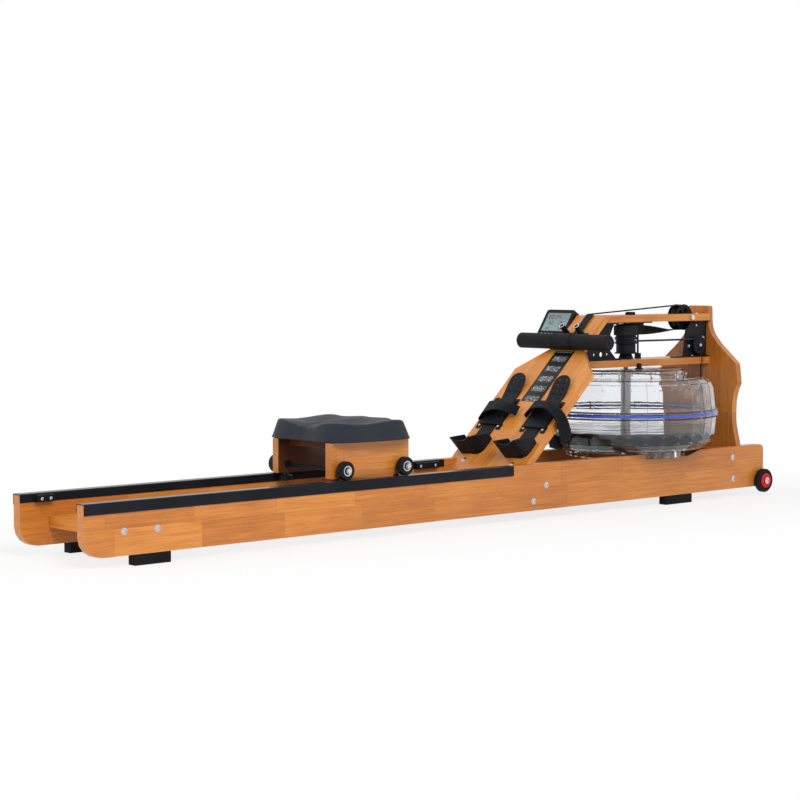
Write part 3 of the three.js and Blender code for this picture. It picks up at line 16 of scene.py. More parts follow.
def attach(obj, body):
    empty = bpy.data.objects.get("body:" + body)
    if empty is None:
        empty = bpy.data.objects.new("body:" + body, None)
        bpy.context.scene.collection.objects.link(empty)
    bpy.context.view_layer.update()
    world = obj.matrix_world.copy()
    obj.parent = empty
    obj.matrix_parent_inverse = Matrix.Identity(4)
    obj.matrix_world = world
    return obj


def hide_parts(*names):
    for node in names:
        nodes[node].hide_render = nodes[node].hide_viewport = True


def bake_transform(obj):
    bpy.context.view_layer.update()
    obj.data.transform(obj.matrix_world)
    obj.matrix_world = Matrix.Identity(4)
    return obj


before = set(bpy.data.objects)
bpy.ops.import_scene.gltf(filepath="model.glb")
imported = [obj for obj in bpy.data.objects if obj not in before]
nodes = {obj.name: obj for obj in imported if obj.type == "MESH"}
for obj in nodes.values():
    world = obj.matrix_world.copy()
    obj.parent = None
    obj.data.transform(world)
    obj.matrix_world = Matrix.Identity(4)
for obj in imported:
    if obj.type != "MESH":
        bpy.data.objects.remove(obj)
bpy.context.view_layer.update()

# %% [markdown]
# ## Measures
# The maker's drawing counts millimetres from the tail of the boards, while the scene counts metres from the
# middle. Two small functions carry a point over: one from the drawing, one from the slope of the footboard,
# where a point is given by how far up the slope it lies, how far sideways, and how far out of the face.

# %% From the drawing to the scene
MM = 0.001
HALF_LENGTH = 1060.0
SLOPE = math.radians(44.1)
SLOPE_FOOT = (1226.0, 135.0)
ALONG, ACROSS, UPRIGHT = (1.0, 0.0, 0.0), (0.0, 1.0, 0.0), (0.0, 0.0, 1.0)
UP_SLOPE = (math.cos(SLOPE), 0.0, math.sin(SLOPE))
OUT_OF_SLOPE = (-math.sin(SLOPE), 0.0, math.cos(SLOPE))


def drawn(x, y, z):
    """A point of the drawing in scene metres: each coordinate times a thousandth, x less the half length."""
    parts = np.broadcast_arrays(np.asarray(x, float) - HALF_LENGTH, y, z)
    return np.stack(parts, -1) * MM


def on_slope(up, side, out):
    """A point up the slope, sideways and out of the face: foot + up * slope direction + out * face normal."""
    x = SLOPE_FOOT[0] + up * math.cos(SLOPE) - out * math.sin(SLOPE)
    z = SLOPE_FOOT[1] + up * math.sin(SLOPE) + out * math.cos(SLOPE)
    return drawn(x, side, z)


def slope_place(up, side, out=0.0):
    """The same point in the drawing's millimetres."""
    return on_slope(up, side, out) / MM + [HALF_LENGTH, 0, 0]


print("top of the slope", np.round(on_slope(384.0, 0.0, 0.0), 4))

# %% [markdown]
# ## The camera
# The photograph looks along the machine from its tail, a little above the seat, through a long lens that
# keeps the far board nearly parallel to the near one. Yaw, pitch and roll turn into three unit vectors,
# and these are the columns of the camera's matrix.

# %% Camera
CAMERA_PLACE = (-3.1975, -3.5378, 0.5923)
CAMERA_YAW, CAMERA_PITCH, CAMERA_ROLL = (math.radians(a) for a in (41.0465, 3.6553, -0.0748))
FOCAL_PIXELS, FRAME_PIXELS, SENSOR = 2029.18, 800.0, 36.0


def camera_matrix(place, yaw, pitch, roll):
    """Columns are right, up, back and place. Forward is (sin yaw cos pitch, cos yaw cos pitch, -sin pitch)."""
    forward = Vector((math.sin(yaw) * math.cos(pitch), math.cos(yaw) * math.cos(pitch), -math.sin(pitch)))
    level = Vector((math.cos(yaw), -math.sin(yaw), 0.0))
    upright = level.cross(forward)
    right = level * math.cos(roll) + upright * math.sin(roll)
    up = upright * math.cos(roll) - level * math.sin(roll)
    matrix = Matrix((right, up, -forward)).transposed().to_4x4()
    matrix.translation = Vector(place)
    return matrix


camera = bpy.data.objects.new("camera", bpy.data.cameras.new("camera"))
bpy.context.scene.collection.objects.link(camera)
camera.matrix_world = camera_matrix(CAMERA_PLACE, CAMERA_YAW, CAMERA_PITCH, CAMERA_ROLL)
camera.data.sensor_width = SENSOR
camera.data.lens = FOCAL_PIXELS / FRAME_PIXELS * SENSOR
bpy.context.scene.camera = camera
bpy.context.scene.view_settings.view_transform = "Standard"
print("lens", round(camera.data.lens, 2), "mm")

# %% [markdown]
# ## Shader arithmetic
# A procedural finish is mostly sums: a streak plus a speckle, times a mask. `Signal` wraps one socket of a
# material, so such a sum is written as plain Python and every operator adds its Math node. `Finish` is a
# material being made, and its `node` method adds any other node: settings first, then the inputs.


# %% Signals and finishes
class Signal:
    """One value in a material. Python's operators on it add Math nodes to the same material."""

    def __init__(self, finish, socket):
        self.finish = finish
        self.socket = socket

    def math(self, operation, *values):
        """The Math node of that name on these values, in their order."""
        return self.finish.node("ShaderNodeMath", {"operation": operation}, dict(enumerate(values)))

    def __add__(self, other):
        return self.math("ADD", self, other)

    def __radd__(self, other):
        return self.math("ADD", other, self)

    def __sub__(self, other):
        return self.math("SUBTRACT", self, other)

    def __rsub__(self, other):
        return self.math("SUBTRACT", other, self)

    def __mul__(self, other):
        return self.math("MULTIPLY", self, other)

    def __rmul__(self, other):
        return self.math("MULTIPLY", other, self)

    def __truediv__(self, other):
        return self.math("DIVIDE", self, other)

    def floor(self):
        """The whole number below."""
        return self.math("FLOOR", self)

    def fraction(self):
        """What is left above the whole number below."""
        return self.math("FRACT", self)

    def size(self):
        """The value without its sign."""
        return self.math("ABSOLUTE", self)

    def root(self):
        """The square root."""
        return self.math("SQRT", self)

    def wave(self):
        """The sine."""
        return self.math("SINE", self)

    def least(self, other):
        """The smaller of the two."""
        return self.math("MINIMUM", self, other)

    def most(self, other):
        """The larger of the two."""
        return self.math("MAXIMUM", self, other)

    def step(self, start, end):
        """0 before start, 1 after end, and a smooth rise between them."""
        inputs = {0: self, 1: start, 2: end, 3: 0.0, 4: 1.0}
        return self.finish.node("ShaderNodeMapRange", {"interpolation_type": "SMOOTHSTEP"}, inputs)


class Finish:
    """A material or a world being made: node() adds nodes, and surface() or end() closes it."""

    def __init__(self, name, blocks=bpy.data.materials):
        self.block = blocks.new(name)
        self.block.use_nodes = True
        self.tree = self.block.node_tree
        self.tree.nodes.clear()

    def node(self, kind, settings=None, inputs=None, out=0):
        """A node of that kind: its settings, then the values or links of its sockets. Gives one output."""
        made = self.tree.nodes.new(kind)
        for key, value in (settings or {}).items():
            if key == "stops":
                self.set_stops(made.color_ramp, value)
            else:
                setattr(made, key, value)
        for key, value in (inputs or {}).items():
            self.feed(made.inputs[key], value)
        return None if out is None else Signal(self, made.outputs[out])

    def feed(self, socket, value):
        """Links a signal to a socket, or sets a value on it, with the alpha that a colour of three lacks."""
        if isinstance(value, Signal):
            self.tree.links.new(value.socket, socket)
        elif socket.type == "RGBA" and len(value) == 3:
            socket.default_value = (*value, 1.0)
        else:
            socket.default_value = value

    @staticmethod
    def set_stops(ramp, stops):
        """Gives a colour ramp these stops, as (place, colour) pairs."""
        while len(ramp.elements) < len(stops):
            ramp.elements.new(1.0)
        for element, (place, colour) in zip(ramp.elements, stops):
            element.position = place
            element.color = (*colour, 1.0)

    def object_place(self):
        """Where the shaded point is on the object at rest, in metres."""
        return self.node("ShaderNodeTexCoord", out="Object")

    def split(self, vector):
        """The three numbers of a vector."""
        made = self.node("ShaderNodeSeparateXYZ", inputs={0: vector}).socket.node
        return [Signal(self, socket) for socket in made.outputs]

    def join(self, x, y, z):
        """A vector of three numbers."""
        return self.node("ShaderNodeCombineXYZ", inputs={0: x, 1: y, 2: z})

    def along(self, vector, direction):
        """How far the vector goes in that direction: their dot product."""
        settings = {"operation": "DOT_PRODUCT"}
        return self.node("ShaderNodeVectorMath", settings, {0: vector, 1: direction}, out="Value")

    def noise(self, place, scale, detail=2.0, roughness=0.5):
        """Smooth noise round a half, of `scale` lumps in a metre."""
        inputs = {"Vector": place, "Scale": scale, "Detail": detail, "Roughness": roughness}
        return self.node("ShaderNodeTexNoise", inputs=inputs)

    def cells(self, place, scale):
        """The distance to the nearest of many scattered points, `scale` of them along a metre."""
        return self.node("ShaderNodeTexVoronoi", {"feature": "F1"}, {"Vector": place, "Scale": scale})

    def dice(self, place):
        """A number from 0 to 1 that is different for every vector."""
        return self.node("ShaderNodeTexWhiteNoise", {"noise_dimensions": "3D"}, {"Vector": place})

    def mix(self, mask, first, second):
        """The first colour where the mask is 0 and the second where it is 1."""
        settings = {"data_type": "RGBA", "clamp_factor": True}
        return self.node("ShaderNodeMix", settings, {0: mask, 6: first, 7: second}, out=2)

    def ramp(self, value, stops):
        """A colour for each value, by a ramp of (place, colour) stops."""
        return self.node("ShaderNodeValToRGB", {"stops": stops}, {0: value})

    def surface(self, colour, roughness, height=None, depth=0.0, **constants):
        """Ends the material with a Principled shader. height is a relief of `depth` metres, and the
        constants are the shader's own sockets, with _ for a space."""
        shader = self.tree.nodes.new("ShaderNodeBsdfPrincipled")
        values = {"Base Color": colour, "Roughness": roughness}
        values.update({key.replace("_", " "): value for key, value in constants.items()})
        if height is not None:
            values["Normal"] = self.node("ShaderNodeBump", inputs={"Height": height, "Distance": depth})
        for key, value in values.items():
            self.feed(shader.inputs[key], value)
        return self.end(Signal(self, shader.outputs[0]))

    def end(self, shader, kind="ShaderNodeOutputMaterial"):
        """Leads a shader to the output and gives the finished material or world."""
        self.node(kind, inputs={"Surface": shader}, out=None)
        return self.block


print("shader arithmetic ready")

# %% [markdown]
# ## Floor, background and light
# A product picture stands on white paper. The paper here takes the machine's shadow close by, and further off
# it shows itself to the camera, to metal and to glass as pure white, so no horizon is seen. The light can stay
# at a plain level at which a colour renders about as it is written. One broad lamp from the upper left models
# the forms, and a weak one fills. Neither shows in reflections or through glass, so the clear tank has no
# bright square in it.

# %% Floor, world and lamps
WHITE, PALE = (1.0, 1.0, 1.0), (0.84, 0.84, 0.84)
FOOTPRINT = (1.06, 0.2)
FLOOR_HALF = 30.0


def direct_look(finish):
    """1 for what the camera, a reflection or a look through glass sees, and 0 for light on things."""
    rays = ("Is Camera Ray", "Is Glossy Ray", "Is Transmission Ray")
    camera_ray, glossy_ray, glass_ray = (finish.node("ShaderNodeLightPath", out=name) for name in rays)
    return (camera_ray + glossy_ray + glass_ray).least(1.0)


def white_paper(near_share, fade):
    """White paper: for direct looks a share of even glow, and the rest a pale surface that keeps the shadow.
    The share rises to 1 with the distance from the machine's footprint: the root of dx squared + dy
    squared."""
    finish = Finish("white_paper")
    x, y, _ = finish.split(finish.object_place())
    dx, dy = (x.size() - FOOTPRINT[0]).most(0.0), (y.size() - FOOTPRINT[1]).most(0.0)
    far = (dx * dx + dy * dy).root().step(*fade)
    glow = finish.node("ShaderNodeEmission", inputs={"Color": WHITE, "Strength": 1.0})
    pale = finish.node("ShaderNodeBsdfDiffuse", inputs={"Color": PALE})
    share = direct_look(finish) * (near_share + far * (1.0 - near_share))
    return finish.end(finish.node("ShaderNodeMixShader", inputs={0: share, 1: pale, 2: glow}))


def studio(level):
    """An even grey world of that level, which direct looks see as white."""
    finish = Finish("studio", bpy.data.worlds)
    strength = direct_look(finish) * (1.0 - level) + level
    glow = finish.node("ShaderNodeBackground", inputs={"Color": WHITE, "Strength": strength})
    return finish.end(glow, "ShaderNodeOutputWorld")


def softbox(name, place, target, size, watts):
    """A square lamp at a place, turned to the target, and unseen in reflections."""
    lamp = bpy.data.objects.new(name, bpy.data.lights.new(name, "AREA"))
    lamp.data.shape, lamp.data.size, lamp.data.energy = "SQUARE", size, watts
    lamp.location = place
    lamp.visible_glossy = lamp.visible_transmission = False
    lamp.rotation_euler = (Vector(target) - Vector(place)).to_track_quat("-Z", "Y").to_euler()
    bpy.context.scene.collection.objects.link(lamp)


floor_corners = [(x * FLOOR_HALF, y * FLOOR_HALF, 0.0) for x, y in ((-1, -1), (1, -1), (1, 1), (-1, 1))]
floor_mesh = bpy.data.meshes.new("floor")
floor_mesh.from_pydata(floor_corners, [], [(0, 1, 2, 3)])
floor_mesh.materials.append(white_paper(near_share=0.8, fade=(0.0, 0.7)))
floor = bpy.data.objects.new("floor", floor_mesh)
bpy.context.scene.collection.objects.link(floor)
bpy.context.scene.world = studio(level=0.5)
softbox("key_lamp", (-1.4, -3.6, 2.9), (0.1, 0.0, 0.2), 2.2, 150.0)
softbox("fill_lamp", (-4.2, 0.6, 1.7), (0.0, 0.0, 0.2), 2.2, 60.0)
print("floor", 2 * FLOOR_HALF, "m square, world level 0.5, two softboxes")

# %% [markdown]
# ## Wood
# The boards are glued up from short staves of a pale hardwood, joined end to end with finger joints and
# finished with a honey stain under satin lacquer. A photograph of wood would repeat and stretch, while a
# formula can follow each board's own grain. So the pattern is worked out along three directions of a board:
# with the grain, across its width and through its thickness. Each stave draws its own tone and its own rings.
# Painted shade darkens the seat's boards inside and the deck under the pad; the pins under them are painted
# black.

# %% Wood finish
WOOD_DARK, WOOD_MIDDLE, WOOD_LIGHT = (0.34, 0.098, 0.011), (0.54, 0.182, 0.024), (0.72, 0.308, 0.058)
# The middle colour of the next line is a deep brown, painted in as shade inside the seat.
PORE_BROWN, INNER_SHADE, PIN_BLACK = (0.24, 0.070, 0.014), (0.060, 0.014, 0.003), (0.0050, 0.0054, 0.0066)
FINGER_PITCH, FINGER_LENGTH, GLUE_HALF = 0.0046, 0.0045, 0.0007
CARRIAGE_FOOT = 0.136


def wood(name, grain, wide, stave=(0.215, 0.055), edge=0.0, tone=0.0, shade_within=None, shine=0.5):
    """Staves in rows. Row = floor((across - edge) / width). A stave's number = floor of the way along the
    grain, pushed to and fro by a zigzag for the finger joint, over its length, plus the row's own slip.
    Faces nearer to the machine's middle plane than the given distance are painted dark as shade, and the guide
    wheels' pins below such a board are black."""
    finish = Finish(name)
    place = finish.object_place()
    thick = tuple(Vector(grain).cross(Vector(wide)))
    u, v, w = (finish.along(place, direction) for direction in (grain, wide, thick))
    row = ((v - edge) / stave[1]).floor()
    zigzag = ((v / FINGER_PITCH).fraction() - 0.5).size() * FINGER_LENGTH
    counted = (u + zigzag) / stave[0] + finish.dice(finish.join(row, 3.7, tone)) * 5.0
    number = counted.floor()
    luck = finish.dice(finish.join(number, row, 1.3))
    ring_luck = finish.dice(finish.join(row, number, 8.1))
    streak = finish.noise(finish.join(u * 7.0, v * 210.0 + luck * 40.0, w * 210.0), 1.0, 4.0, 0.62)
    swirl = finish.noise(finish.join(u * 3.4, v * 24.0 + ring_luck * 30.0, w * 24.0 + luck * 9.0), 1.0, 1.5)
    rings = (swirl * 42.0).wave() * 0.5
    pores = finish.noise(finish.join(u * 55.0, v * 620.0, w * 620.0), 1.0, 2.0).step(0.60, 0.74)
    glue = ((counted.fraction() - 0.5).size()).step(0.5 - GLUE_HALF / stave[0], 0.5)
    cloud = finish.noise(finish.join(u * 9.0, v * 14.0, w * 14.0), 1.0, 2.0)
    shade = (streak - 0.5) * 0.95 + rings * 0.07 + (luck - 0.5) * 0.26 + (cloud - 0.5) * 0.4 + (0.5 + tone)
    colour = finish.ramp(shade, [(0.05, WOOD_DARK), (0.5, WOOD_MIDDLE), (0.95, WOOD_LIGHT)])
    colour = finish.mix((pores * 0.42).most(glue * 0.5), colour, PORE_BROWN)
    if shade_within:
        # Painted shade: faces near the middle plane take a deep brown, standing in for the shade between the
        # seat's boards.
        inside = 1.0 - finish.split(place)[1].size().step(shade_within, shade_within + 0.0008)
        colour = finish.mix(inside * 0.94, colour, INNER_SHADE)
        above = finish.split(place)[2].step(CARRIAGE_FOOT - 0.0004, CARRIAGE_FOOT)
        colour = finish.mix(above, PIN_BLACK, colour)
    relief = streak * 0.7 - pores * 0.5 - glue * 0.6
    lacquer = {"Specular_IOR_Level": shine, "Coat_Weight": 0.6 * shine, "Coat_Roughness": 0.16}
    return finish.surface(colour, 0.36 + streak * 0.14, relief, 0.00014, **lacquer)


board_wood = wood("wood_boards", ALONG, UPRIGHT, edge=0.078)
shelf_wood = wood("wood_shelves", ALONG, ACROSS, stave=(0.19, 0.040), edge=0.0, tone=0.06)
cross_wood = wood("wood_crossboards", ACROSS, UPRIGHT, stave=(0.16, 0.05))
slope_wood = wood("wood_footboard", UP_SLOPE, ACROSS, stave=(0.26, 0.052), edge=0.026, tone=0.08)
# The backboard's tone is lowered as painted shade, for the shade that falls on it.
back_wood = wood("wood_backboard", UPRIGHT, ACROSS, stave=(0.23, 0.052), edge=0.026, tone=-0.24)
# The carriage boards are painted dark as shade on their inner faces.
seat_wood = wood("wood_carriage", ALONG, UPRIGHT, stave=(0.30, 0.060), edge=0.15, tone=0.02,
                 shade_within=0.0845)
# The deck lies wholly within the middle band, so all of it is painted dark as shade.
deck_wood = wood("wood_deck", ALONG, ACROSS, stave=(0.30, 0.060), shade_within=0.2, shine=0.08)
print("seven boards' worth of grain")

# %% [markdown]
# ## Metal, plastic and rubber
# The rails and brackets are powder coated: a black skin with a faint orange peel, polished where the rollers
# run. Moulded plastic has an even spark-eroded grain. Bright screws and axle ends are turned steel. One
# function with a few numbers serves all the black parts, because they differ only in tone, gloss and grain.

# %% Coated, moulded and turned finishes
ROLLER_LINE, TRACK_EDGE, RAIL_TOP = 0.122, (0.0065, 0.0085), (0.1322, 0.1328)
WORN_BLACK = (0.045, 0.047, 0.052)


def black_skin(name, colour, gloss, grain, depth, track=False):
    """Two sizes of noise lay a fine grain. track polishes the band that the rollers run on."""
    finish = Finish(name)
    place = finish.object_place()
    fine = finish.noise(place, grain, 2.0)
    broad = finish.noise(place, 9.0, 3.0)
    shade = finish.mix(broad.step(0.3, 0.75), colour, tuple(1.5 * c + 0.002 for c in colour))
    rough = gloss + (fine - 0.5) * 0.18 + (broad - 0.5) * 0.12
    if track:
        x, y, z = finish.split(place)
        band = 1.0 - ((y.size() - ROLLER_LINE).size()).step(*TRACK_EDGE)
        scratches = finish.noise(finish.join(x * 3.0, y * 900.0, z), 1.0)
        band = band * z.step(*RAIL_TOP) * (0.55 + scratches * 0.6)
        rough = rough - band * 0.16
        shade = finish.mix(band * 0.5, shade, WORN_BLACK)
    return finish.surface(shade, rough, fine, depth, Specular_IOR_Level=0.14)


def turned_steel(name, tone=0.66, gloss=0.24):
    """Bright steel: a metal with faint rings of noise in its tone and gloss."""
    finish = Finish(name)
    marks = finish.noise(finish.object_place(), 700.0, 3.0)
    colour = finish.mix(marks, (tone * 0.86,) * 3, (tone * 1.1, tone * 1.1, tone * 1.12))
    return finish.surface(colour, gloss + (marks - 0.5) * 0.2, marks, 0.00003, Metallic=1.0)


rail_coat = black_skin("rail_coat", (0.0055, 0.0062, 0.0090), 0.36, 1400.0, 0.00005, track=True)
bracket_coat = black_skin("bracket_coat", (0.0055, 0.0060, 0.0078), 0.42, 1200.0, 0.00006)
moulding = black_skin("moulded_plastic", (0.0052, 0.0056, 0.0070), 0.48, 2100.0, 0.00008)
wheel_plastic = black_skin("wheel_plastic", (0.0050, 0.0054, 0.0066), 0.40, 1600.0, 0.00005)
foot_plastic = black_skin("foot_plastic", (0.0070, 0.0078, 0.0102), 0.52, 1500.0, 0.00014)
foot_rubber = black_skin("foot_rubber", (0.0055, 0.0060, 0.0068), 0.72, 800.0, 0.00012)
tyre_rubber = black_skin("tyre_rubber", (0.0060, 0.0060, 0.0066), 0.62, 900.0, 0.00010)
bright_steel = turned_steel("bright_steel")
print("black skins and steel")

# %% [markdown]
# ## Finishes that change along a piece
# Some solids are one turned part in two finishes: the seat's axles are black between the boards and bright
# at the nuts outside them, and so are the ends of the pulley's axle. A mask on the distance from the
# machine's middle plane mixes metal in at the ends, so no piece has to be cut. The handle's pegs lie wholly
# within that distance and stay black.


# %% Two-part finishes
def steel_ended(name, black, bright_from):
    """Black up to a distance from the middle plane and bright steel beyond it."""
    finish = Finish(name)
    place = finish.object_place()
    bright = finish.split(place)[1].size().step(bright_from, bright_from + 0.0004)
    fine = finish.noise(place, 1300.0, 2.0)
    colour = finish.mix(bright, black, (0.66, 0.66, 0.68))
    rough = 0.42 - bright * 0.18 + (fine - 0.5) * 0.16
    return finish.surface(colour, rough, fine, 0.00005, Metallic=bright, Specular_IOR_Level=0.14)


seat_axle_finish = steel_ended("seat_axle", (0.0055, 0.0060, 0.0070), 0.1304)
pulley_finish = steel_ended("strap_pulley", (0.0055, 0.0060, 0.0072), 0.0402)
wheel_axle_finish = steel_ended("wheel_axle", (0.0055, 0.0060, 0.0070), 0.1530)
peg_finish = steel_ended("handle_pegs", (0.0060, 0.0065, 0.0076), 0.2)
print("two-part finishes")

# %% [markdown]
# ## Tank, seal and water
# The tank is blown from clear plastic a few millimetres thick, so it darkens at its rims and bends what is
# behind it. A real wall in the solids lets a plain glass shader do this. The wall is never quite even, and a
# weak relief of broad lumps gives the soft ripples in its reflections. The water is painted a dark grey-blue
# as shade seen through it under the tank, and the seal between the halves is a glossy blue rubber ring.


# %% Clear finishes
def clear(name, colour, index, lumps, depth, haze):
    """Glass of that index. Broad noise ripples its surface, and finer noise hazes it here and there."""
    finish = Finish(name)
    place = finish.object_place()
    ripple = finish.noise(place, lumps, 2.0)
    mist = finish.noise(place, 60.0, 4.0, 0.6).step(0.45, 0.9)
    return finish.surface(colour, 0.015 + mist * haze, ripple, depth, Transmission_Weight=1.0, IOR=index)


def blue_rubber():
    """A glossy blue with a little unevenness in tone."""
    finish = Finish("blue_seal")
    lumps = finish.noise(finish.object_place(), 40.0, 2.0)
    colour = finish.mix(lumps, (0.016, 0.060, 0.50), (0.035, 0.120, 0.70))
    return finish.surface(colour, 0.25 + lumps * 0.1, lumps, 0.0001, Coat_Weight=0.4, Coat_Roughness=0.1)


def shaded_water():
    """A little clear and mostly a dark grey-blue body, painted shade for what is seen through the water under
    the tank.
    """
    finish = Finish("tank_water")
    place = finish.object_place()
    ripple = finish.noise(place, 26.0, 3.0)
    depth = finish.noise(place, 9.0, 2.0)
    # Painted shade: two dark grey-blues stand in for the shade seen through the water under the tank.
    colour = finish.mix(depth.step(0.3, 0.7), (0.009, 0.019, 0.031), (0.024, 0.042, 0.060))
    return finish.surface(colour, 0.03 + ripple * 0.03, ripple, 0.0007, Transmission_Weight=0.12, IOR=1.33)


tank_plastic = clear("tank_plastic", (0.93, 0.94, 0.955), 1.49, 22.0, 0.0006, 0.04)
tank_water = shaded_water()
seal_rubber = blue_rubber()
print("tank, water and seal")

# %% [markdown]
# ## Grip, screen and the solids that keep their shape
# The handle is sleeved in closed-cell foam with a matt, slightly pebbled skin, and the screen is a grey
# liquid crystal behind a glossy pane. Then every solid whose shape is already right takes its finish.

# %% Foam, screen, and dressing the solids
SCREEN_LOW, SCREEN_HIGH = 0.435, 0.490


def foam_sleeve():
    """Fine cells from a Voronoi pattern over a soft noise."""
    finish = Finish("foam_sleeve")
    place = finish.object_place()
    cells = finish.cells(place, 1400.0)
    soft = finish.noise(place, 60.0, 3.0)
    colour = finish.mix(soft, (0.0050, 0.0054, 0.0070), (0.0095, 0.0100, 0.0125))
    return finish.surface(colour, 0.66 + (soft - 0.5) * 0.2, cells, 0.00022, Specular_IOR_Level=0.2)


def liquid_crystal():
    """Grey-green behind a clear coat, with painted shade: a little lighter toward its lower edge and darker
    above.
    """
    finish = Finish("liquid_crystal")
    place = finish.object_place()
    height = finish.split(place)[2]
    # Painted shade: the screen darkens from its lower edge toward its top.
    colour = finish.mix(height.step(SCREEN_LOW, SCREEN_HIGH), (0.215, 0.292, 0.310), (0.120, 0.172, 0.188))
    speck = finish.noise(place, 3000.0, 1.0)
    return finish.surface(colour, 0.32 + speck * 0.08, speck, 0.00001, Coat_Weight=0.8, Coat_Roughness=0.05)


def dress(finish, *names):
    """Gives solids a finish on their objects' own slots, and leaves their meshes alone."""
    for name in names:
        for slot in nodes[name].material_slots:
            slot.link = "OBJECT"
            slot.material = finish


SIDES, ENDS = ("left", "right"), ("rear", "front")
CORNERS = [f"{end}_{side}" for end in ENDS for side in SIDES]
dress(board_wood, *(f"{side}_side_board" for side in SIDES))
dress(shelf_wood, "top_shelf", "lower_shelf")
dress(cross_wood, "rear_crossboard", "middle_crossboard", "front_crossboard")
dress(slope_wood, "footboard")
dress(back_wood, "backboard")
dress(seat_wood, *(f"{side}_carriage_board" for side in SIDES))
dress(rail_coat, *(f"{side}_rail" for side in SIDES))
dress(bracket_coat, "neck_bracket", "pulley_bracket", "lower_pulley_bracket")
dress(moulding, "drum", "upper_bearing", "lower_bearing", "monitor_housing", "bungee_pulley", "lower_pulley")
dress(foot_plastic, *(f"{side}_{part}" for side in SIDES for part in ("foot_plate", "heel_slider")))
dress(foot_rubber, *(f"{corner}_foot" for corner in CORNERS))
dress(wheel_plastic, *(f"{corner}_{kind}" for corner in CORNERS for kind in ("roller", "guide_wheel")))
dress(seat_axle_finish, "rear_axle", "front_axle")
dress(pulley_finish, "strap_pulley")
dress(wheel_axle_finish, "transport_axle")
dress(peg_finish, "handle_rest")
dress(tyre_rubber, *(f"{side}_transport_wheel" for side in SIDES))
dress(turned_steel("shaft_steel", 0.30, 0.3), "paddle_shaft")
dress(tank_plastic, "tank_lower_shell", "tank_upper_shell", "tank_lid")
dress(foam_sleeve(), "handle_grip")
dress(liquid_crystal(), "monitor_screen")
print("solids dressed")

# %% [markdown]
# ## Sums on arrays
# Several pieces share a few small formulas: a direction of length one, a smooth rise, a bell curve, and how
# far along a path each of its points lies. Each works on a whole array at once, so no piece counts its
# points one by one.


# %% Sums on arrays
def unit(vectors):
    """Each vector over its own length."""
    return vectors / np.maximum(np.linalg.norm(vectors, axis=-1, keepdims=True), 1e-12)


def rise(value, start, stop):
    """0 before start, 1 after stop, and 3 t squared - 2 t cubed between them."""
    t = np.clip((value - start) / (stop - start), 0, 1)
    return t * t * (3 - 2 * t)


def bell(value, reach):
    """1 at zero, falling off as e to the minus (value / reach) squared."""
    return np.exp(-((value / reach) ** 2))


def way_along(places):
    """How far each point of a path lies along it: the running sum of the steps' lengths."""
    return np.concatenate([[0.0], np.cumsum(np.linalg.norm(np.diff(places, axis=0), axis=1))])


def points_of(mesh):
    """A mesh's corner points as an array of rows of three."""
    flat = np.empty(len(mesh.vertices) * 3, np.float32)
    mesh.vertices.foreach_get("co", flat)
    return flat.reshape(-1, 3).astype(float)


print("a rise passes its middle at", rise(0.5, 0.0, 1.0))

# %% [markdown]
# ## Surfaces from formulas
# Every new piece is a grid of points: rows of a closed section carried along a path, or a profile turned
# round an axis. `skins` joins neighbouring rows with four-sided faces and closes the two ends. A grid can
# bring a UV map that counts metres along and across, so a weave on a strap keeps its real size wherever the
# strap turns.


# %% From grid to mesh
def grid_corners(rings, count, looped):
    """The ring and point numbers (i, j) of every face's first corner, and of the ring and point after it."""
    i, j = np.meshgrid(np.arange(rings if looped else rings - 1), np.arange(count), indexing="ij")
    return i, j, (i + 1) % rings, (j + 1) % count


def grid_faces(rings, count, looped=False):
    """Face (i, j) joins ring i to ring i + 1 between points j and j + 1. Each end ring becomes one face, or
    the last ring joins the first where the grid is looped."""
    i, j, after, k = grid_corners(rings, count, looped)
    quads = np.stack([i * count + j, i * count + k, after * count + k, after * count + j], -1)
    faces = quads.reshape(-1, 4).tolist()
    if not looped:
        faces += [list(range(count))[::-1], list(range((rings - 1) * count, rings * count))]
    return faces


def skins(name, blocks, finish, looped=False, uv=None):
    """Several closed grids of shape (m, n, 3) in one mesh: m rings of n points each. uv is for one grid and
    has shape (m, n + 1, 2)."""
    points, faces, start = [], [], 0
    for rows in blocks:
        points.append(rows.reshape(-1, 3))
        faces += [[corner + start for corner in face] for face in grid_faces(*rows.shape[:2], looped)]
        start += len(points[-1])
    mesh = bpy.data.meshes.new(name)
    mesh.from_pydata(np.concatenate(points).tolist(), [], faces)
    if uv is not None:
        i, j = grid_corners(*blocks[0].shape[:2], False)[:2]
        corner = np.stack([uv[i, j], uv[i, j + 1], uv[i + 1, j + 1], uv[i + 1, j]], -2).reshape(-1, 2)
        ends = np.zeros((len(mesh.loops) - len(corner), 2))
        layer = mesh.uv_layers.new(name="along")
        layer.data.foreach_set("uv", np.concatenate([corner, ends]).astype(np.float32).ravel())
    return place_mesh(name, mesh, finish)


def place_mesh(name, mesh, finish, crease=48.0):
    """Puts a mesh into the scene at the origin: every face turned outwards, smooth but for sharp edges."""
    mesh.materials.append(finish)
    made = bpy.data.objects.new(name, mesh)
    bpy.context.scene.collection.objects.link(made)
    shape = bmesh.new()
    shape.from_mesh(mesh)
    bmesh.ops.recalc_face_normals(shape, faces=shape.faces)
    shape.to_mesh(mesh)
    shape.free()
    mesh.polygons.foreach_set("use_smooth", [True] * len(mesh.polygons))
    mesh.set_sharp_from_angle(angle=math.radians(crease))
    return made


def on_frame(piece, body, slot, *replaced):
    """Puts a finished piece on the body it rides on and hides the solids it stands for. slot is not used."""
    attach(piece, body)
    if replaced:
        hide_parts(*replaced)
    return piece


print("a grid of 3 rings of 8 has", len(grid_faces(3, 8)), "faces")

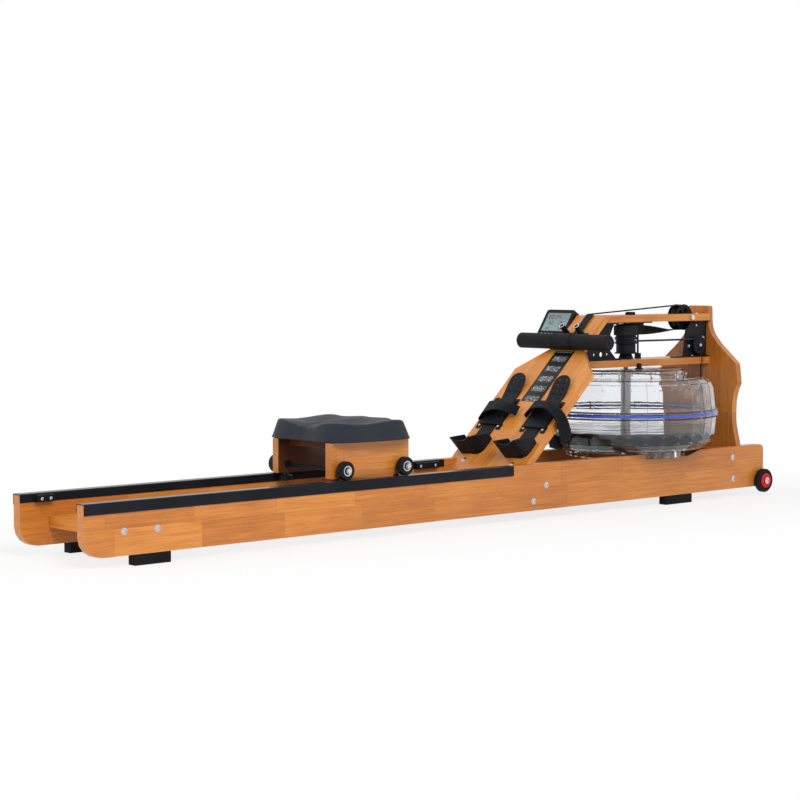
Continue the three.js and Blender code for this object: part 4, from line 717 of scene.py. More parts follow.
# %% [markdown]
# ## Turned pieces
# Bolts, rings, hubs and the water are all profiles turned round an axis, as on a lathe. A third number on each
# point of a profile, its hexness, pushes the circle there out to a hexagon, which gives nuts and sockets. A
# profile that doesn't reach the axis is a closed section, and its grid is looped instead of capped.


# %% The lathe
def square_axes(axis):
    """Two directions square to an axis and to each other: it is crossed with the world axis that is furthest
    from it, and then with the result."""
    first = unit(np.cross(axis, np.eye(3)[np.argmin(np.abs(axis))]))
    return first, np.cross(axis, first)


def turned_rows(profile, place, axis, count=24):
    """A profile turned round an axis. Its rows are radius, height and hexness: point = place + height * axis
    + radius * (cosine and sine of the turn), and hexness 1 pushes a ring out to the hexagon round it."""
    radius, height, hexness = (column[:, None, None] for column in np.array(profile, float).T)
    axis = unit(np.asarray(axis, float))
    first, second = square_axes(axis)
    turn = np.linspace(0, 2 * math.pi, count, endpoint=False)[:, None]
    from_flat = np.cos((turn + math.pi / 6) % (math.pi / 3) - math.pi / 6)
    ring = (np.cos(turn) * first + np.sin(turn) * second) / (1 + hexness * (from_flat - 1))
    return drawn(*np.moveaxis(np.asarray(place, float) + height * axis + radius * ring, -1, 0))


def turned(name, profile, spots, finish, body="frame", slot="steel", replaced=(), looped=False, count=24):
    """The same turned profile at every (place, axis) of the list, as one piece on one body. In a looped grid
    the sections round the axis are its rings."""
    blocks = [turned_rows(profile, place, axis, count) for place, axis in spots]
    if looped:
        blocks = [np.swapaxes(rows, 0, 1) for rows in blocks]
    return on_frame(skins(name, blocks, finish, looped), body, slot, *replaced)


washer = turned_rows([(2, 0, 0), (4, 0, 0), (4, 1, 0), (2, 1, 0)], (0, 0, 0), UPRIGHT)
print("a washer turned of 4 points is a grid of", washer.shape)

# %% [markdown]
# ## Water, paddle and the blue seal
# The tank is half full: a disc of water with a slightly moving surface fills the lower shell from wall to
# wall, and the paddle turns beneath that surface. A thin blue seal is pressed between the flanges of the two
# halves. Water, hub and seal are turned. The water's surface adds three crossing waves to its height, and a
# blade is a strip swept along a parabola, so that the six scoop the water alike.

# %% Water, paddle and seal
TANK_AXIS = np.array([1710.0, 0.0, 0.0])
TANK_SPOT = [(TANK_AXIS, UPRIGHT)]
WATER_TOP, WAVE_HEIGHT, WATER_EDGE, WATER_HOLE = 188.5, 0.32, 223.0, 21.0
WATER_OUTLINE = [(21.0, 135.6), (60.0, 136.0), (110.0, 136.6), (163.1, 139.4), (180.0, 143.0), (192.9, 146.2),
                 (206.0, 154.0), (215.0, 162.0), (220.5, 172.0), (222.8, 180.0)]
BLADES, BLADE_FOOT, BLADE_TOP, BLADE_START, BLADE_LENGTH = 6, 150.5, 175.0, 17.0, 118.0
BLADE_SECTION = [(-2.0, 0), (-1.2, -0.6), (1.2, -0.6), (2.0, 0), (2.0, 1), (1.2, 1.03), (-1.2, 1.03),
                 (-2.0, 1)]
HUB = [(12.9, 150.5, 0), (19.2, 150.5, 0), (20.0, 151.5, 0), (20.0, 175.0, 0), (19.0, 176.5, 0),
       (12.9, 176.5, 0)]
SEAL = [(226.3, 228.8, 0), (225.6, 232.0, 0), (226.3, 235.2, 0), (230.5, 235.5, 0), (233.6, 235.2, 0),
        (234.7, 233.8, 0), (234.9, 232.0, 0), (234.7, 230.2, 0), (233.6, 228.8, 0), (230.5, 228.5, 0)]


def water_body(count=120, rings=34):
    """The wetted profile turned round the shaft, then rings over the top that rise and fall with the waves."""
    level = [(r, WATER_TOP, 0.0) for r in np.linspace(WATER_EDGE, WATER_HOLE, rings)]
    wall = turned_rows([(r, z, 0.0) for r, z in WATER_OUTLINE], TANK_AXIS, UPRIGHT, count)
    top = turned_rows(level, TANK_AXIS, UPRIGHT, count)
    x, y = (top[..., 0] - (TANK_AXIS[0] - HALF_LENGTH) * MM) / MM, top[..., 1] / MM
    waves = np.sin(x / 17.0 + 2.0 * np.sin(y / 41.0)) + np.sin(y / 13.0 + x / 29.0) + np.sin((x - y) / 23.0)
    top[..., 2] += WAVE_HEIGHT * waves * MM
    return np.concatenate([wall, top])


def blade_rows(turn, count=20):
    """A strip 4 wide whose middle line bends sideways as 62 * ((r - 52) / 83) squared beyond r = 52, and whose
    lower edge rises by 8 toward the tip, turned round the shaft."""
    share = np.linspace(0.0, 1.0, count)
    way = BLADE_START + share * BLADE_LENGTH
    bend = 62.0 * np.clip((way - 52.0) / 83.0, 0, None) ** 2
    slope = np.gradient(bend, way)
    across = np.stack([-slope, np.ones(count)], -1) / np.hypot(1, slope)[:, None]
    low = (BLADE_FOOT + 8.0 * rise(share, 0.75, 1.0))[:, None]
    out, up = np.array(BLADE_SECTION).T
    x, y = way[:, None] + out * across[:, :1], bend[:, None] + out * across[:, 1:]
    z = np.where(up > 0.5, BLADE_TOP + (up - 1) * 20, low + up)
    return drawn(TANK_AXIS[0] + x * math.cos(turn) - y * math.sin(turn),
                 x * math.sin(turn) + y * math.cos(turn), z)


water_disc = on_frame(skins("water_disc", [water_body()], tank_water), "frame", "water", "water")
blades = [blade_rows(turn) for turn in np.arange(BLADES) * 2 * math.pi / BLADES + 0.3]
on_frame(skins("bladed_rotor", blades, moulding), "rotor", "black_plastic", "paddle")
turned("rotor_hub", HUB, TANK_SPOT, moulding, "rotor", "black_plastic", looped=True, count=36)
turned("thick_seal", SEAL, TANK_SPOT, seal_rubber, slot="blue_seal", replaced=["tank_seal"], looped=True,
       count=144)
print("water", len(water_disc.data.vertices), "points,", BLADES, "blades and a seal of", len(SEAL), "corners")

# %% [markdown]
# ## The seat's pad
# The pad is moulded foam in a thin grained cover: its sides slope inwards to a crisp upper rim, the back edge
# is scooped for the tail bone, and hollows for the thighs and hips leave a ridge between them. A plain block
# with rounded corners misses all of that. So the pad starts as a formula in two parameters, the angle round
# the outline and a layer that climbs the side and closes over the top.

# %% The pad's form
PAD_MIDDLE = 764.5 - HALF_LENGTH
PAD_LENGTH, PAD_WIDTH, PAD_BOTTOM, PAD_TOP = 245.0, 280.0, 214.6, 258.5
PAD_LEAN, BACK_SCOOP = 13.0, 9.0
PAD_LAYERS = [(0.0, 0.02, 0.0), (0.0, 0.5, 0.0), (0.0, 0.94, 0.0), (0.0, 1.0, 0.02)]
PAD_LAYERS += [(PAD_LEAN * up, 1.0, up) for up in (0.08, 0.3, 0.55, 0.8, 0.93)] + [(13.6, 0.992, 1.0)]
PAD_LAYERS += [(PAD_LEAN, share, 1.0) for share in (0.95, 0.85, 0.7, 0.55, 0.4, 0.25, 0.1, 0.02)]


def pad_top(x, y):
    """Height of the top in millimetres: the rim's height less five dents. They are the scoop for the tail
    bone, two places for the thighs with the ridge's end between them, the hollows, and the hips' waist."""
    out = np.abs(y)
    tail = 20.0 * bell(y, 48.0) * rise(-x, 50.0, 118.0)
    thighs = (15.0 * bell(out - 88.0, 28.0) + 4.0 * bell(y, 40.0)) * rise(x, 60.0, 118.0)
    hollows = 13.0 * bell(out - 58.0, 42.0) * bell(x + 15.0, 60.0)
    hips = 4.0 * bell(x + 35.0, 60.0) * rise(out, 80.0, 120.0)
    return PAD_TOP - tail - thighs - hollows - hips


def squared(value, half):
    """A cosine or sine raised to a small power with its sign kept, which squares a circle's corners."""
    return np.sign(value) * np.abs(value) ** (2 / 4.5) * half


def pad_rows(rounds=128):
    """Layers from the middle of the underside, out and up the sloping side, and in over the top. A layer is
    inset, share and up: a squarish ring drawn in by inset, its ends scooped by a bell curve of y, scaled by
    share, at the height bottom + up * (top - bottom)."""
    turns = np.linspace(0, 2 * math.pi, rounds, endpoint=False)
    inset, share, up = (column[:, None] for column in np.array(PAD_LAYERS).T)
    y = squared(np.sin(turns), PAD_WIDTH / 2 - inset) * share
    dent = BACK_SCOOP * bell(y, 45.0) * share
    x = squared(np.cos(turns), 1.0) * (PAD_LENGTH / 2 - inset - dent) * share
    return np.stack([x + PAD_MIDDLE, y, PAD_BOTTOM + up * (pad_top(x, y) - PAD_BOTTOM)], -1) * MM


print("pad grid", pad_rows().shape)

# %% [markdown]
# ## The pad's cover
# The cover is charcoal with a fine crossing grain. Cloth lets it swell a little over its foam, which softens
# the hollows and leaves the rim readable. A short pressure run on even cells of 3 mm does that, and a cap of
# little more than a millimetre on each point's way keeps the pad's size, so most of the form is the formula's.


# %% Upholstery, and the pad swells
def upholstery():
    """Charcoal cover with a fine crossing grain: a cell pattern with noise, and broad areas of tone."""
    finish = Finish("upholstery")
    place = finish.object_place()
    cells = finish.cells(place, 900.0)
    fine = finish.noise(place, 1500.0, 2.0)
    broad = finish.noise(place, 14.0, 3.0)
    colour = finish.mix(broad * 0.7 + fine * 0.3, (0.0085, 0.0110, 0.0185), (0.0230, 0.0270, 0.0375))
    relief, rough = cells + fine * 0.6, 0.60 + (fine - 0.5) * 0.2
    return finish.surface(colour, rough, relief, 0.00030, Sheen_Weight=0.04, Specular_IOR_Level=0.25)


def bake_modifiers(piece):
    """Replaces a piece's mesh by what its modifiers make of it, and removes them."""
    graph = bpy.context.evaluated_depsgraph_get()
    made = bpy.data.meshes.new_from_object(piece.evaluated_get(graph), depsgraph=graph)
    piece.modifiers.clear()
    piece.data = made


def swell(piece, cell, pressure, cap, frames=20, stiffness=18.0, held=6.0):
    """Cloth under pressure: even cells first, then the cover moves out for some frames. Each point keeps at
    most `cap` of its move, and the move fades out over the lowest `held` millimetres, so the pad is flat where
    it rests."""
    remesh = piece.modifiers.new("even cells", "REMESH")
    remesh.mode, remesh.voxel_size, remesh.use_smooth_shade = "VOXEL", cell, True
    bake_modifiers(piece)
    rest = points_of(piece.data)
    settings = piece.modifiers.new("cover", "CLOTH").settings
    settings.quality = 6
    settings.tension_stiffness = settings.compression_stiffness = stiffness
    settings.use_pressure = True
    settings.uniform_pressure_force = pressure
    settings.effector_weights.gravity = 0.0
    for moment in range(1, frames + 1):
        bpy.context.scene.frame_set(moment)
    moved = points_of(piece.evaluated_get(bpy.context.evaluated_depsgraph_get()).data) - rest
    piece.modifiers.clear()
    bpy.context.scene.frame_set(1)
    length = np.linalg.norm(moved, axis=1, keepdims=True)
    moved *= np.minimum(1.0, cap / np.maximum(length, 1e-9))
    above = (rest[:, 2:] - rest[:, 2].min()) / MM
    placed = rest + moved * np.clip(above / held, 0.0, 1.0)
    piece.data.vertices.foreach_set("co", placed.astype(np.float32).ravel())
    piece.data.update()
    return float(length.max())


pad_cover = upholstery()
seat_pad = skins("seat_pad", [pad_rows()], pad_cover)
reach = swell(seat_pad, cell=0.003, pressure=4.0, cap=0.0012)
print("the cover moved", round(reach * 1000, 1), "mm at most")
on_frame(seat_pad, "seat", "upholstery", "seat_cushion")
print("seat pad", np.round(np.ptp(points_of(seat_pad.data), axis=0) * 1000).tolist(), "mm")

# %% [markdown]
# ## The board under the pad
# A board joins the two carriage boards under the pad. It is set back from the pad's ends and its corners are
# eased, so it shows only as an edge, painted dark as shade. One section carried through five stations is
# enough.

# %% Seat deck
DECK_HALF_WIDTH, DECK_HALF_THICK, DECK_HEIGHT = 83.5, 7.8, 206.1
DECK_SECTION = [(-1, -0.72), (-0.97, -0.93), (-0.9, -1), (0.9, -1), (0.97, -0.93), (1, -0.72),
                (1, 0.72), (0.97, 0.93), (0.9, 1), (-0.9, 1), (-0.97, 0.93), (-1, 0.72)]
deck_x = np.array([680.0, 681.5, 766.0, 847.5, 849.0])[:, None]
deck_size = np.array([0.985, 1.0, 1.0, 1.0, 0.985])[:, None, None]
deck = np.array(DECK_SECTION) * [DECK_HALF_WIDTH, DECK_HALF_THICK] * deck_size
deck_rows = drawn(deck_x, deck[..., 0], DECK_HEIGHT + deck[..., 1])
on_frame(skins("seat_deck", [deck_rows], deck_wood), "seat", "wood", "seat_base")
print("seat deck", np.round(np.ptp(deck_rows, axis=(0, 1)) * 1000).tolist(), "mm")

# %% [markdown]
# ## Webbing
# The foot straps and the pull strap are woven bands. A band is a short section, flat with thin edges, carried
# along a path: every station has a place, the direction across the band and a width. The UV map runs along
# and across the band in metres, so the weave's ribs and the rows of stitches follow every bend and twist.

# %% Bands
BAND_SECTION = np.array([(-1, -0.3), (-0.97, -0.8), (-0.9, -1), (-0.45, -1), (0, -1), (0.45, -1), (0.9, -1),
                         (0.97, -0.8), (1, -0.3), (1, 0.3), (0.97, 0.8), (0.9, 1), (0.45, 1), (0, 1),
                         (-0.45, 1), (-0.9, 1), (-0.97, 0.8), (-1, 0.3)])
STITCH_LENGTH = 0.0042


def smooth_path(stations, steps):
    """A Catmull-Rom curve through rows of numbers, `steps` points to a span, each span's weights cubics."""
    rows = np.asarray(stations, float)
    rows = np.vstack([2 * rows[0] - rows[1], rows, 2 * rows[-1] - rows[-2]])
    t = np.linspace(0, 1, steps, endpoint=False)[:, None]
    spans = []
    for a, b, c, d in zip(rows, rows[1:], rows[2:], rows[3:]):
        spans.append(0.5 * (2 * b + (c - a) * t + (2 * a - 5 * b + 4 * c - d) * t**2
                            + (3 * b - a - 3 * c + d) * t**3))
    return np.vstack([*spans, rows[-2:-1]])


def band(name, places, across, widths, thickness, finish):
    """Ring i = place i + section x * half width * across + section y * half thickness * normal, where the
    normal is the path's direction crossed with across."""
    forward = unit(np.gradient(places, axis=0))
    across = unit(across - forward * (across * forward).sum(-1, keepdims=True))
    normal = np.cross(forward, across)
    half = np.broadcast_to(np.asarray(widths, float) / 2, len(places))[:, None, None]
    rows = places[:, None] + BAND_SECTION[None, :, :1] * half * across[:, None]
    rows = rows + BAND_SECTION[None, :, 1:] * (thickness / 2) * normal[:, None]
    side = np.append(BAND_SECTION[:, 0], BAND_SECTION[0, 0])
    uv = np.stack(np.broadcast_arrays(way_along(places)[:, None], side[None] * half[:, 0]), -1)
    return skins(name, [rows], finish, uv=uv)


def webbing(name, colour, worn, rib, stitch_place=None):
    """Plain weave: sines along and across. Where stitch_place is given, a dashed line of thread runs that
    far from the band's middle, in metres."""
    finish = Finish(name)
    along, across, _ = finish.split(finish.node("ShaderNodeUVMap", {"uv_map": "along"}))
    weft = (along * (2 * math.pi / rib)).wave()
    warp = (across * (2 * math.pi / (rib * 1.5))).wave()
    weave = weft * warp * 0.5 + 0.5
    fluff = finish.noise(finish.object_place(), 500.0, 3.0)
    shade = finish.mix(weave * 0.5 + fluff * 0.5, colour, worn)
    height = weave * 0.6 + fluff * 0.4
    if stitch_place:
        line = 1.0 - (across.size() - stitch_place).size().step(0.0003, 0.0006)
        dash = ((along / STITCH_LENGTH).fraction() - 0.5).size().step(0.08, 0.16)
        thread = line * dash
        shade = finish.mix(thread * 0.7, shade, WORN_BLACK)
        height = height + thread * 1.2
    rough = 0.82 + (fluff - 0.5) * 0.2
    return finish.surface(shade, rough, height, 0.00035, Sheen_Weight=0.03, Specular_IOR_Level=0.08)


print("a band's section has", len(BAND_SECTION), "corners")

# %% [markdown]
# ## Foot straps
# Each strap is anchored beside its foot plate, arches over the foot and hooks back to itself. It could be a
# plain arch, but a stiff band that stands open without a foot in it leans: its lower edge springs further out
# than its upper one. So each strap is given by its two edges, as up, side and out on the slope, and the band
# is laid between them. The far one ends in a short free end toward the middle. The near one hangs over the
# board's edge, where its end is turned up.

# %% The two foot straps
FOOT_STRAP_THICK = 0.0027
LEFT_UPPER = [(177, 121.5, 1.7), (177, 120, 12), (176, 101, 16), (173, 69, 22), (168, 36, 21), (165, 1, 13)]
LEFT_LOWER = [(121, 123.5, 1.7), (121, 122, 8), (123, 95, 29), (124, 84, 33), (128, 62, 37), (131, 40, 36),
              (136, 19, 23), (140, 6, 9)]
RIGHT_UPPER = [(187, -31.5, 1.7), (187, -33, 12), (183, -62, 20), (178, -97, 24), (170, -123, 17),
               (165, -136, 6), (158, -143, -15), (150, -143, -37), (146, -136, -57), (141, -127, -66),
               (134, -121, -60), (126, -118, -46), (120, -117, -33)]
RIGHT_LOWER = [(140, -28.5, 1.7), (140, -29, 12), (140, -48, 26), (139, -75, 40), (138, -117, 46),
               (134, -138, 31), (128, -143, 8), (118, -141, -20), (110, -134, -44), (104, -125, -54),
               (97, -119, -47), (90, -117, -34), (85, -117, -27)]


def even(stations, count):
    """`count` points at even distances along a smooth curve through the stations."""
    fine = smooth_path(stations, 12)
    gone = way_along(fine)
    wanted = np.linspace(0.0, gone[-1], count)
    return np.stack([np.interp(wanted, gone, column) for column in fine.T], -1)


def strap_between(name, upper, lower, count, finish):
    """A band between two edges: its middle is their mean, across is their difference, width its length."""
    up, down = (on_slope(*even(edge, count).T) for edge in (upper, lower))
    width = np.linalg.norm(up - down, axis=1)
    return band(name, (up + down) / 2, up - down, width, FOOT_STRAP_THICK, finish)


foot_webbing = webbing("foot_webbing", (0.0045, 0.0048, 0.0060), (0.0105, 0.0110, 0.0135), 0.0016, 0.0150)
STRAPS = (("left", LEFT_UPPER, LEFT_LOWER, 64), ("right", RIGHT_UPPER, RIGHT_LOWER, 90))
for side, upper, lower, count in STRAPS:
    strap = strap_between(f"{side}_strap", upper, lower, count, foot_webbing)
    on_frame(strap, "frame", "webbing", f"{side}_foot_strap")
    print(strap.name, np.round(np.ptp(points_of(strap.data), axis=0) * 1000).tolist(), "mm")

# %% [markdown]
# ## The pull strap
# One woven strap runs from the handle up over the neck, back to the pulley, round it, and through a quarter
# twist to the drum, where it is wound on edge. Its stations follow that route: a spiral for the winding, a
# straight run with a turning across-direction for the twist, and two arcs.

# %% The strap's route
PULLEY_X, PULLEY_Z, PULLEY_TURN = 1918.0, 469.0, 32.0
STRAP_WIDE, STRAP_THICK, DRUM_STRAP_Z = 25.0, 1.9, 438.5
WIND_OUTER, WIND_PITCH, WIND_TURNS = 30.52, 2.6, 1.2
TWIST_SETBACK, TWIST_START = 36.0, 0.35
NECK_BEND, STRAP_CLEAR, SHELF_TOP = 10.0, 3.8, 478.0
STRAP_END = 393.6


def between(start, stop, count):
    """Points on a straight line, without its two ends."""
    return start + (stop - start) * np.linspace(0, 1, count)[1:-1, None]


def arc_points(centre, radius, start, stop, count):
    """Points on an upright circle in the middle plane: centre + radius * (cosine, sine) of the angle."""
    angle = np.linspace(start, stop, count)
    return np.stack([centre[0] + radius * np.cos(angle), 0 * angle, centre[1] + radius * np.sin(angle)], -1)


def winding():
    """A spiral at the drum: the radius falls by the pitch in each turn, from where the strap leaves."""
    leave = math.acos(WIND_OUTER / (PULLEY_X - TWIST_SETBACK - TANK_AXIS[0]))
    angle = np.linspace(leave + 2 * math.pi * WIND_TURNS, leave, 90)
    radius = WIND_OUTER - WIND_PITCH * (angle - leave) / (2 * math.pi)
    x, y = TANK_AXIS[0] + radius * np.cos(angle), radius * np.sin(angle)
    return np.stack([x, y, DRUM_STRAP_Z + 0 * angle], -1)


def strap_route():
    """Places and across-directions, millimetres: winding, twist, round the pulley, over the neck."""
    wound = winding()
    twist_end = np.array([PULLEY_X - TWIST_SETBACK, 0.0, PULLEY_Z - PULLEY_TURN])
    share = np.linspace(0.04, 1.0, 40)[:, None]
    twist = wound[-1] + (twist_end - wound[-1]) * share
    quarter = np.clip((share - TWIST_START) / (1 - TWIST_START), 0, 1) * math.pi / 2
    twist_across = np.hstack([0 * quarter, np.sin(quarter), np.cos(quarter)])
    bend_z = SHELF_TOP + STRAP_CLEAR - NECK_BEND
    sideways = (STRAP_CLEAR - NECK_BEND) / math.sin(SLOPE)
    bend_x = SLOPE_FOOT[0] + (bend_z - SLOPE_FOOT[1]) / math.tan(SLOPE) - sideways
    reach = math.hypot(PULLEY_X - bend_x, PULLEY_Z - bend_z)
    climb = math.asin((PULLEY_TURN - NECK_BEND) / reach)
    round_pulley = arc_points((PULLEY_X, PULLEY_Z), PULLEY_TURN, -math.pi / 2, math.pi / 2 + climb, 40)
    over_neck = arc_points((bend_x, bend_z), NECK_BEND, math.pi / 2 + climb, math.pi / 2 + SLOPE, 14)
    run = between(round_pulley[-1], over_neck[0], 24)
    end = slope_place(STRAP_END, 0.0, STRAP_CLEAR)[None]
    down = over_neck[-1] + (end - over_neck[-1]) * np.linspace(0, 1, 40)[1:, None]
    places = np.vstack([wound, twist, round_pulley, run, over_neck, down])
    flat = len(places) - len(wound) - len(twist)
    across = np.vstack([np.tile(UPRIGHT, (len(wound), 1)), twist_across, np.tile(ACROSS, (flat, 1))])
    return places, across


strap_webbing = webbing("strap_webbing", (0.010, 0.0105, 0.012), (0.030, 0.031, 0.034), 0.0013)
route, route_across = strap_route()
pull_band = band("pull_band", drawn(*route.T), route_across, STRAP_WIDE * MM, STRAP_THICK * MM, strap_webbing)
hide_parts("pull_strap")
tuple(on_slope(473.0, 0.0, 3.8))
tuple(on_slope(395.0, 0.0, 3.8))
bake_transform(pull_band)
print("pull strap", round(float(way_along(route)[-1])), "mm long")

# %% [markdown]
# ## The return cord
# An elastic cord in a braided sleeve winds the strap back. It lies half a turn in the drum's groove, goes
# over the upper pulley, down to the lower one, and forward under the tank to the middle crossboard. It is
# held all the way. A tube along the same route is enough, with its braid as two sets of crossing ribs.

# %% A tube along a route
CORD_RADIUS, CORD_Y, CORD_END = 2.5, -36.0, (1296.0, 71.5)
CORD_WHEEL_X, CORD_WHEEL_Z, LOWER_WHEEL_Z, CORD_TURN = 1946.1, 395.7, 90.0, 15.8
GROOVE_RADIUS, GROOVE_Z = 24.8, 411.5


def tube(name, places, radius, finish, count=14):
    """Round rings of that radius, square to the path. The first ring's side is the path's direction crossed
    with up, and each later one is the side before it less what of it lies along the path. The loop runs over
    the stations, because each side needs the one before."""
    forward = unit(np.gradient(places, axis=0))
    side = np.empty_like(forward)
    side[0] = np.cross(forward[0], UPRIGHT)
    for index in range(1, len(side)):
        side[index] = side[index - 1] - forward[index] * float(side[index - 1] @ forward[index])
    side = unit(side)
    up = np.cross(forward, side)
    turn = np.linspace(0, 2 * math.pi, count, endpoint=False)
    ring = side[:, None] * np.cos(turn)[None, :, None] + up[:, None] * np.sin(turn)[None, :, None]
    uv = np.stack(np.broadcast_arrays(way_along(places)[:, None], np.linspace(0, 1, count + 1)[None]), -1)
    return skins(name, [places[:, None] + radius * ring], finish, uv=uv)


def braid(name, colour, worn, pitch):
    """Two sets of ribs that wind opposite ways: sine of (turns + way along) times sine of (turns - way)."""
    finish = Finish(name)
    along, turns, _ = finish.split(finish.node("ShaderNodeUVMap", {"uv_map": "along"}))
    way, round_it = along * (2 * math.pi / pitch), turns * (2 * math.pi * 6)
    ribs = (way + round_it).wave() * (way - round_it).wave() * 0.5 + 0.5
    return finish.surface(finish.mix(ribs, colour, worn), 0.78 - ribs * 0.1, ribs, 0.0003)


def cord_route():
    """Half a turn in the drum's groove, two quarter turns on the pulleys, straight runs between."""
    half = np.linspace(-1.5 * math.pi, -0.5 * math.pi, 30)
    quarter = np.linspace(math.pi / 2, 0, 12)
    drum = np.stack([TANK_AXIS[0] + GROOVE_RADIUS * np.cos(half), GROOVE_RADIUS * np.sin(half),
                     GROOVE_Z + 0 * half], -1)
    over = np.stack([CORD_WHEEL_X + CORD_TURN * np.cos(quarter), CORD_Y + 0 * quarter,
                     CORD_WHEEL_Z + CORD_TURN * np.sin(quarter)], -1)
    under = np.stack([CORD_WHEEL_X + CORD_TURN * np.cos(-quarter[::-1]), CORD_Y + 0 * quarter,
                      LOWER_WHEEL_Z - CORD_TURN * np.sin(quarter[::-1])], -1)
    stretches = [drum]
    for following in (over, under, np.array([[CORD_END[0], CORD_Y, CORD_END[1]]])):
        stretches += [between(stretches[-1][-1], following[0], 14), following]
    return np.vstack(stretches)


cord_places = cord_route()
cord_braid = braid("cord_braid", (0.008, 0.008, 0.009), (0.022, 0.022, 0.025), 0.006)
return_cord = tube("return_cord", drawn(*cord_places.T), CORD_RADIUS * MM, cord_braid)
on_frame(return_cord, "frame", "cord_rubber", "bungee_cord")
print("cord", round(float(way_along(cord_places)[-1])), "mm")

# %% [markdown]
# ## Bolts, nuts and screws
# The frame is held by button-head bolts over washers, the carriage's axles end in cap nuts, and pan-head
# screws hold the foot plates and the rails' stops. Each kind is one profile of radius, height and hexness,
# turned round its axis at every spot. Building them once as a list of spots keeps a size in one place, and a
# hexagonal socket is only a ring of the profile with its hexness at 1.

# %% Bolts, nuts and screws
BUTTON = [(7.6, 0, 0), (7.6, 0.7, 0), (7.2, 1.0, 0), (6.0, 1.0, 0), (5.8, 2.0, 0), (5.1, 2.9, 0),
          (3.9, 3.6, 0), (3.1, 3.8, 0.6), (2.8, 3.8, 1), (2.7, 3.6, 1), (2.6, 1.6, 1), (0.05, 1.5, 1)]
PAN = [(3.6, 0, 0), (3.6, 0.6, 0), (3.2, 1.5, 0), (2.3, 2.1, 0), (1.5, 2.3, 0.8), (1.4, 2.1, 1), (1.3, 1.0, 1),
       (0.05, 0.9, 1)]
CAP_NUT = [(6.6, 0, 0), (6.6, 0.8, 0), (5.4, 0.9, 1), (5.4, 4.0, 1), (5.1, 4.4, 0.7), (4.7, 4.6, 0),
           (4.2, 6.0, 0), (2.8, 7.0, 0), (0.05, 7.4, 0)]
FLANGE_NUT = [(4.3, 0, 0), (8.6, 0, 0), (8.6, 1.2, 0), (6.6, 1.7, 0.5), (6.4, 2.0, 1), (6.4, 6.2, 1),
              (6.0, 6.8, 0.5), (4.3, 6.8, 0)]
HEX_NUT = [(5.2, 0, 0), (5.2, 0.6, 0), (4.2, 0.8, 1), (4.2, 3.4, 1), (3.8, 3.8, 0.5), (2.4, 3.9, 0),
           (2.3, 5.2, 0), (2.0, 5.6, 0), (0.05, 5.7, 0)]
BEARING = [(8.9, 0, 0), (8.9, 0.7, 0), (9.5, 0.9, 0), (10.0, 0.5, 0), (10.5, 0.9, 0), (11.5, 0.8, 0),
           (11.6, 0, 0)]
BOTH, TO_RIGHT = (-1, 1), (0, -1, 0)
BOARD_FACE, CAP_NUT_SEAT, BEARING_SEAT, INNER_NUT_SEAT = 134.05, 133.9, 130.0, 83.7
BOARD_SPOTS = [(94, 72), (174, 72), (1246, 45), (1289, 81), (1975, 105), (1978, 49)]
EARS = [slope_place(up, foot * 77 + ear * 32.5, 3.3) for up in (106, 189) for foot in BOTH for ear in BOTH]
STOP_SPOTS = [(x, sign * 95.6, 122.0) for x in (45, 66, 1093, 1140) for sign in BOTH]
AXLES, AXLE_HEIGHT = [(x, sign) for x in (678.0, 851.0) for sign in BOTH], 154.3
SHELF_SPOTS = [((1949, -30, 478.05), (0, 0, 1)), ((1949, -29.75, 448), TO_RIGHT),
               ((1926, -35, 368.35), (0, 0, 1)), ((1897, -6, 365.05), (0, 0, 1)),
               ((1930, -20, 346.95), (0, 0, -1))]
BRACKET_SPOTS = [(1975, -29.75, 414), (1920, -29.75, 394)]


def at_axles(out, way=1):
    """A spot at each end of both axles, that far from the middle plane, looking out, or in where way is -1."""
    return [((x, sign * out, AXLE_HEIGHT), (0, way * sign, 0)) for x, sign in AXLES]


dark_steel = turned_steel("dark_steel", 0.12, 0.3)
brassy = turned_steel("zinc_screw", 0.74, 0.3)
board_bolts = [((x, sign * BOARD_FACE, z), (0, sign, 0)) for x, z in BOARD_SPOTS for sign in BOTH]
footboard_bolts = [(slope_place(-7, side, 0.05), OUT_OF_SLOPE) for side in (-83, 83)]
turned("board_bolts", BUTTON, board_bolts, bright_steel)
turned("footboard_bolts", BUTTON, footboard_bolts, bright_steel)
turned("foot_screws", PAN, [(place, OUT_OF_SLOPE) for place in EARS], brassy)
turned("stop_screws", PAN, [(place, (0, -np.sign(place[1]), 0)) for place in STOP_SPOTS], bright_steel)
turned("axle_cap_nuts", CAP_NUT, at_axles(CAP_NUT_SEAT), bright_steel, "seat")
turned("axle_inner_nuts", FLANGE_NUT, at_axles(INNER_NUT_SEAT, -1), moulding, "seat", "black_plastic",
       looped=True)
turned("axle_bearings", BEARING, at_axles(BEARING_SEAT), bright_steel, "seat", looped=True)
turned("shelf_bolts", PAN, SHELF_SPOTS, bright_steel)
turned("bracket_nuts", HEX_NUT, [(place, TO_RIGHT) for place in BRACKET_SPOTS], bright_steel)
print(len(board_bolts), "board bolts,", len(EARS), "foot screws,", len(STOP_SPOTS), "stop screws")

# %% [markdown]
# ## The transport wheels
# Each wheel at the tank's end is a black tyre round a red plastic hub with a raised rim, on a bolt. The tyre
# is a solid already. The hub is one turned ring that rides on its wheel, and the bolts stay with the frame.

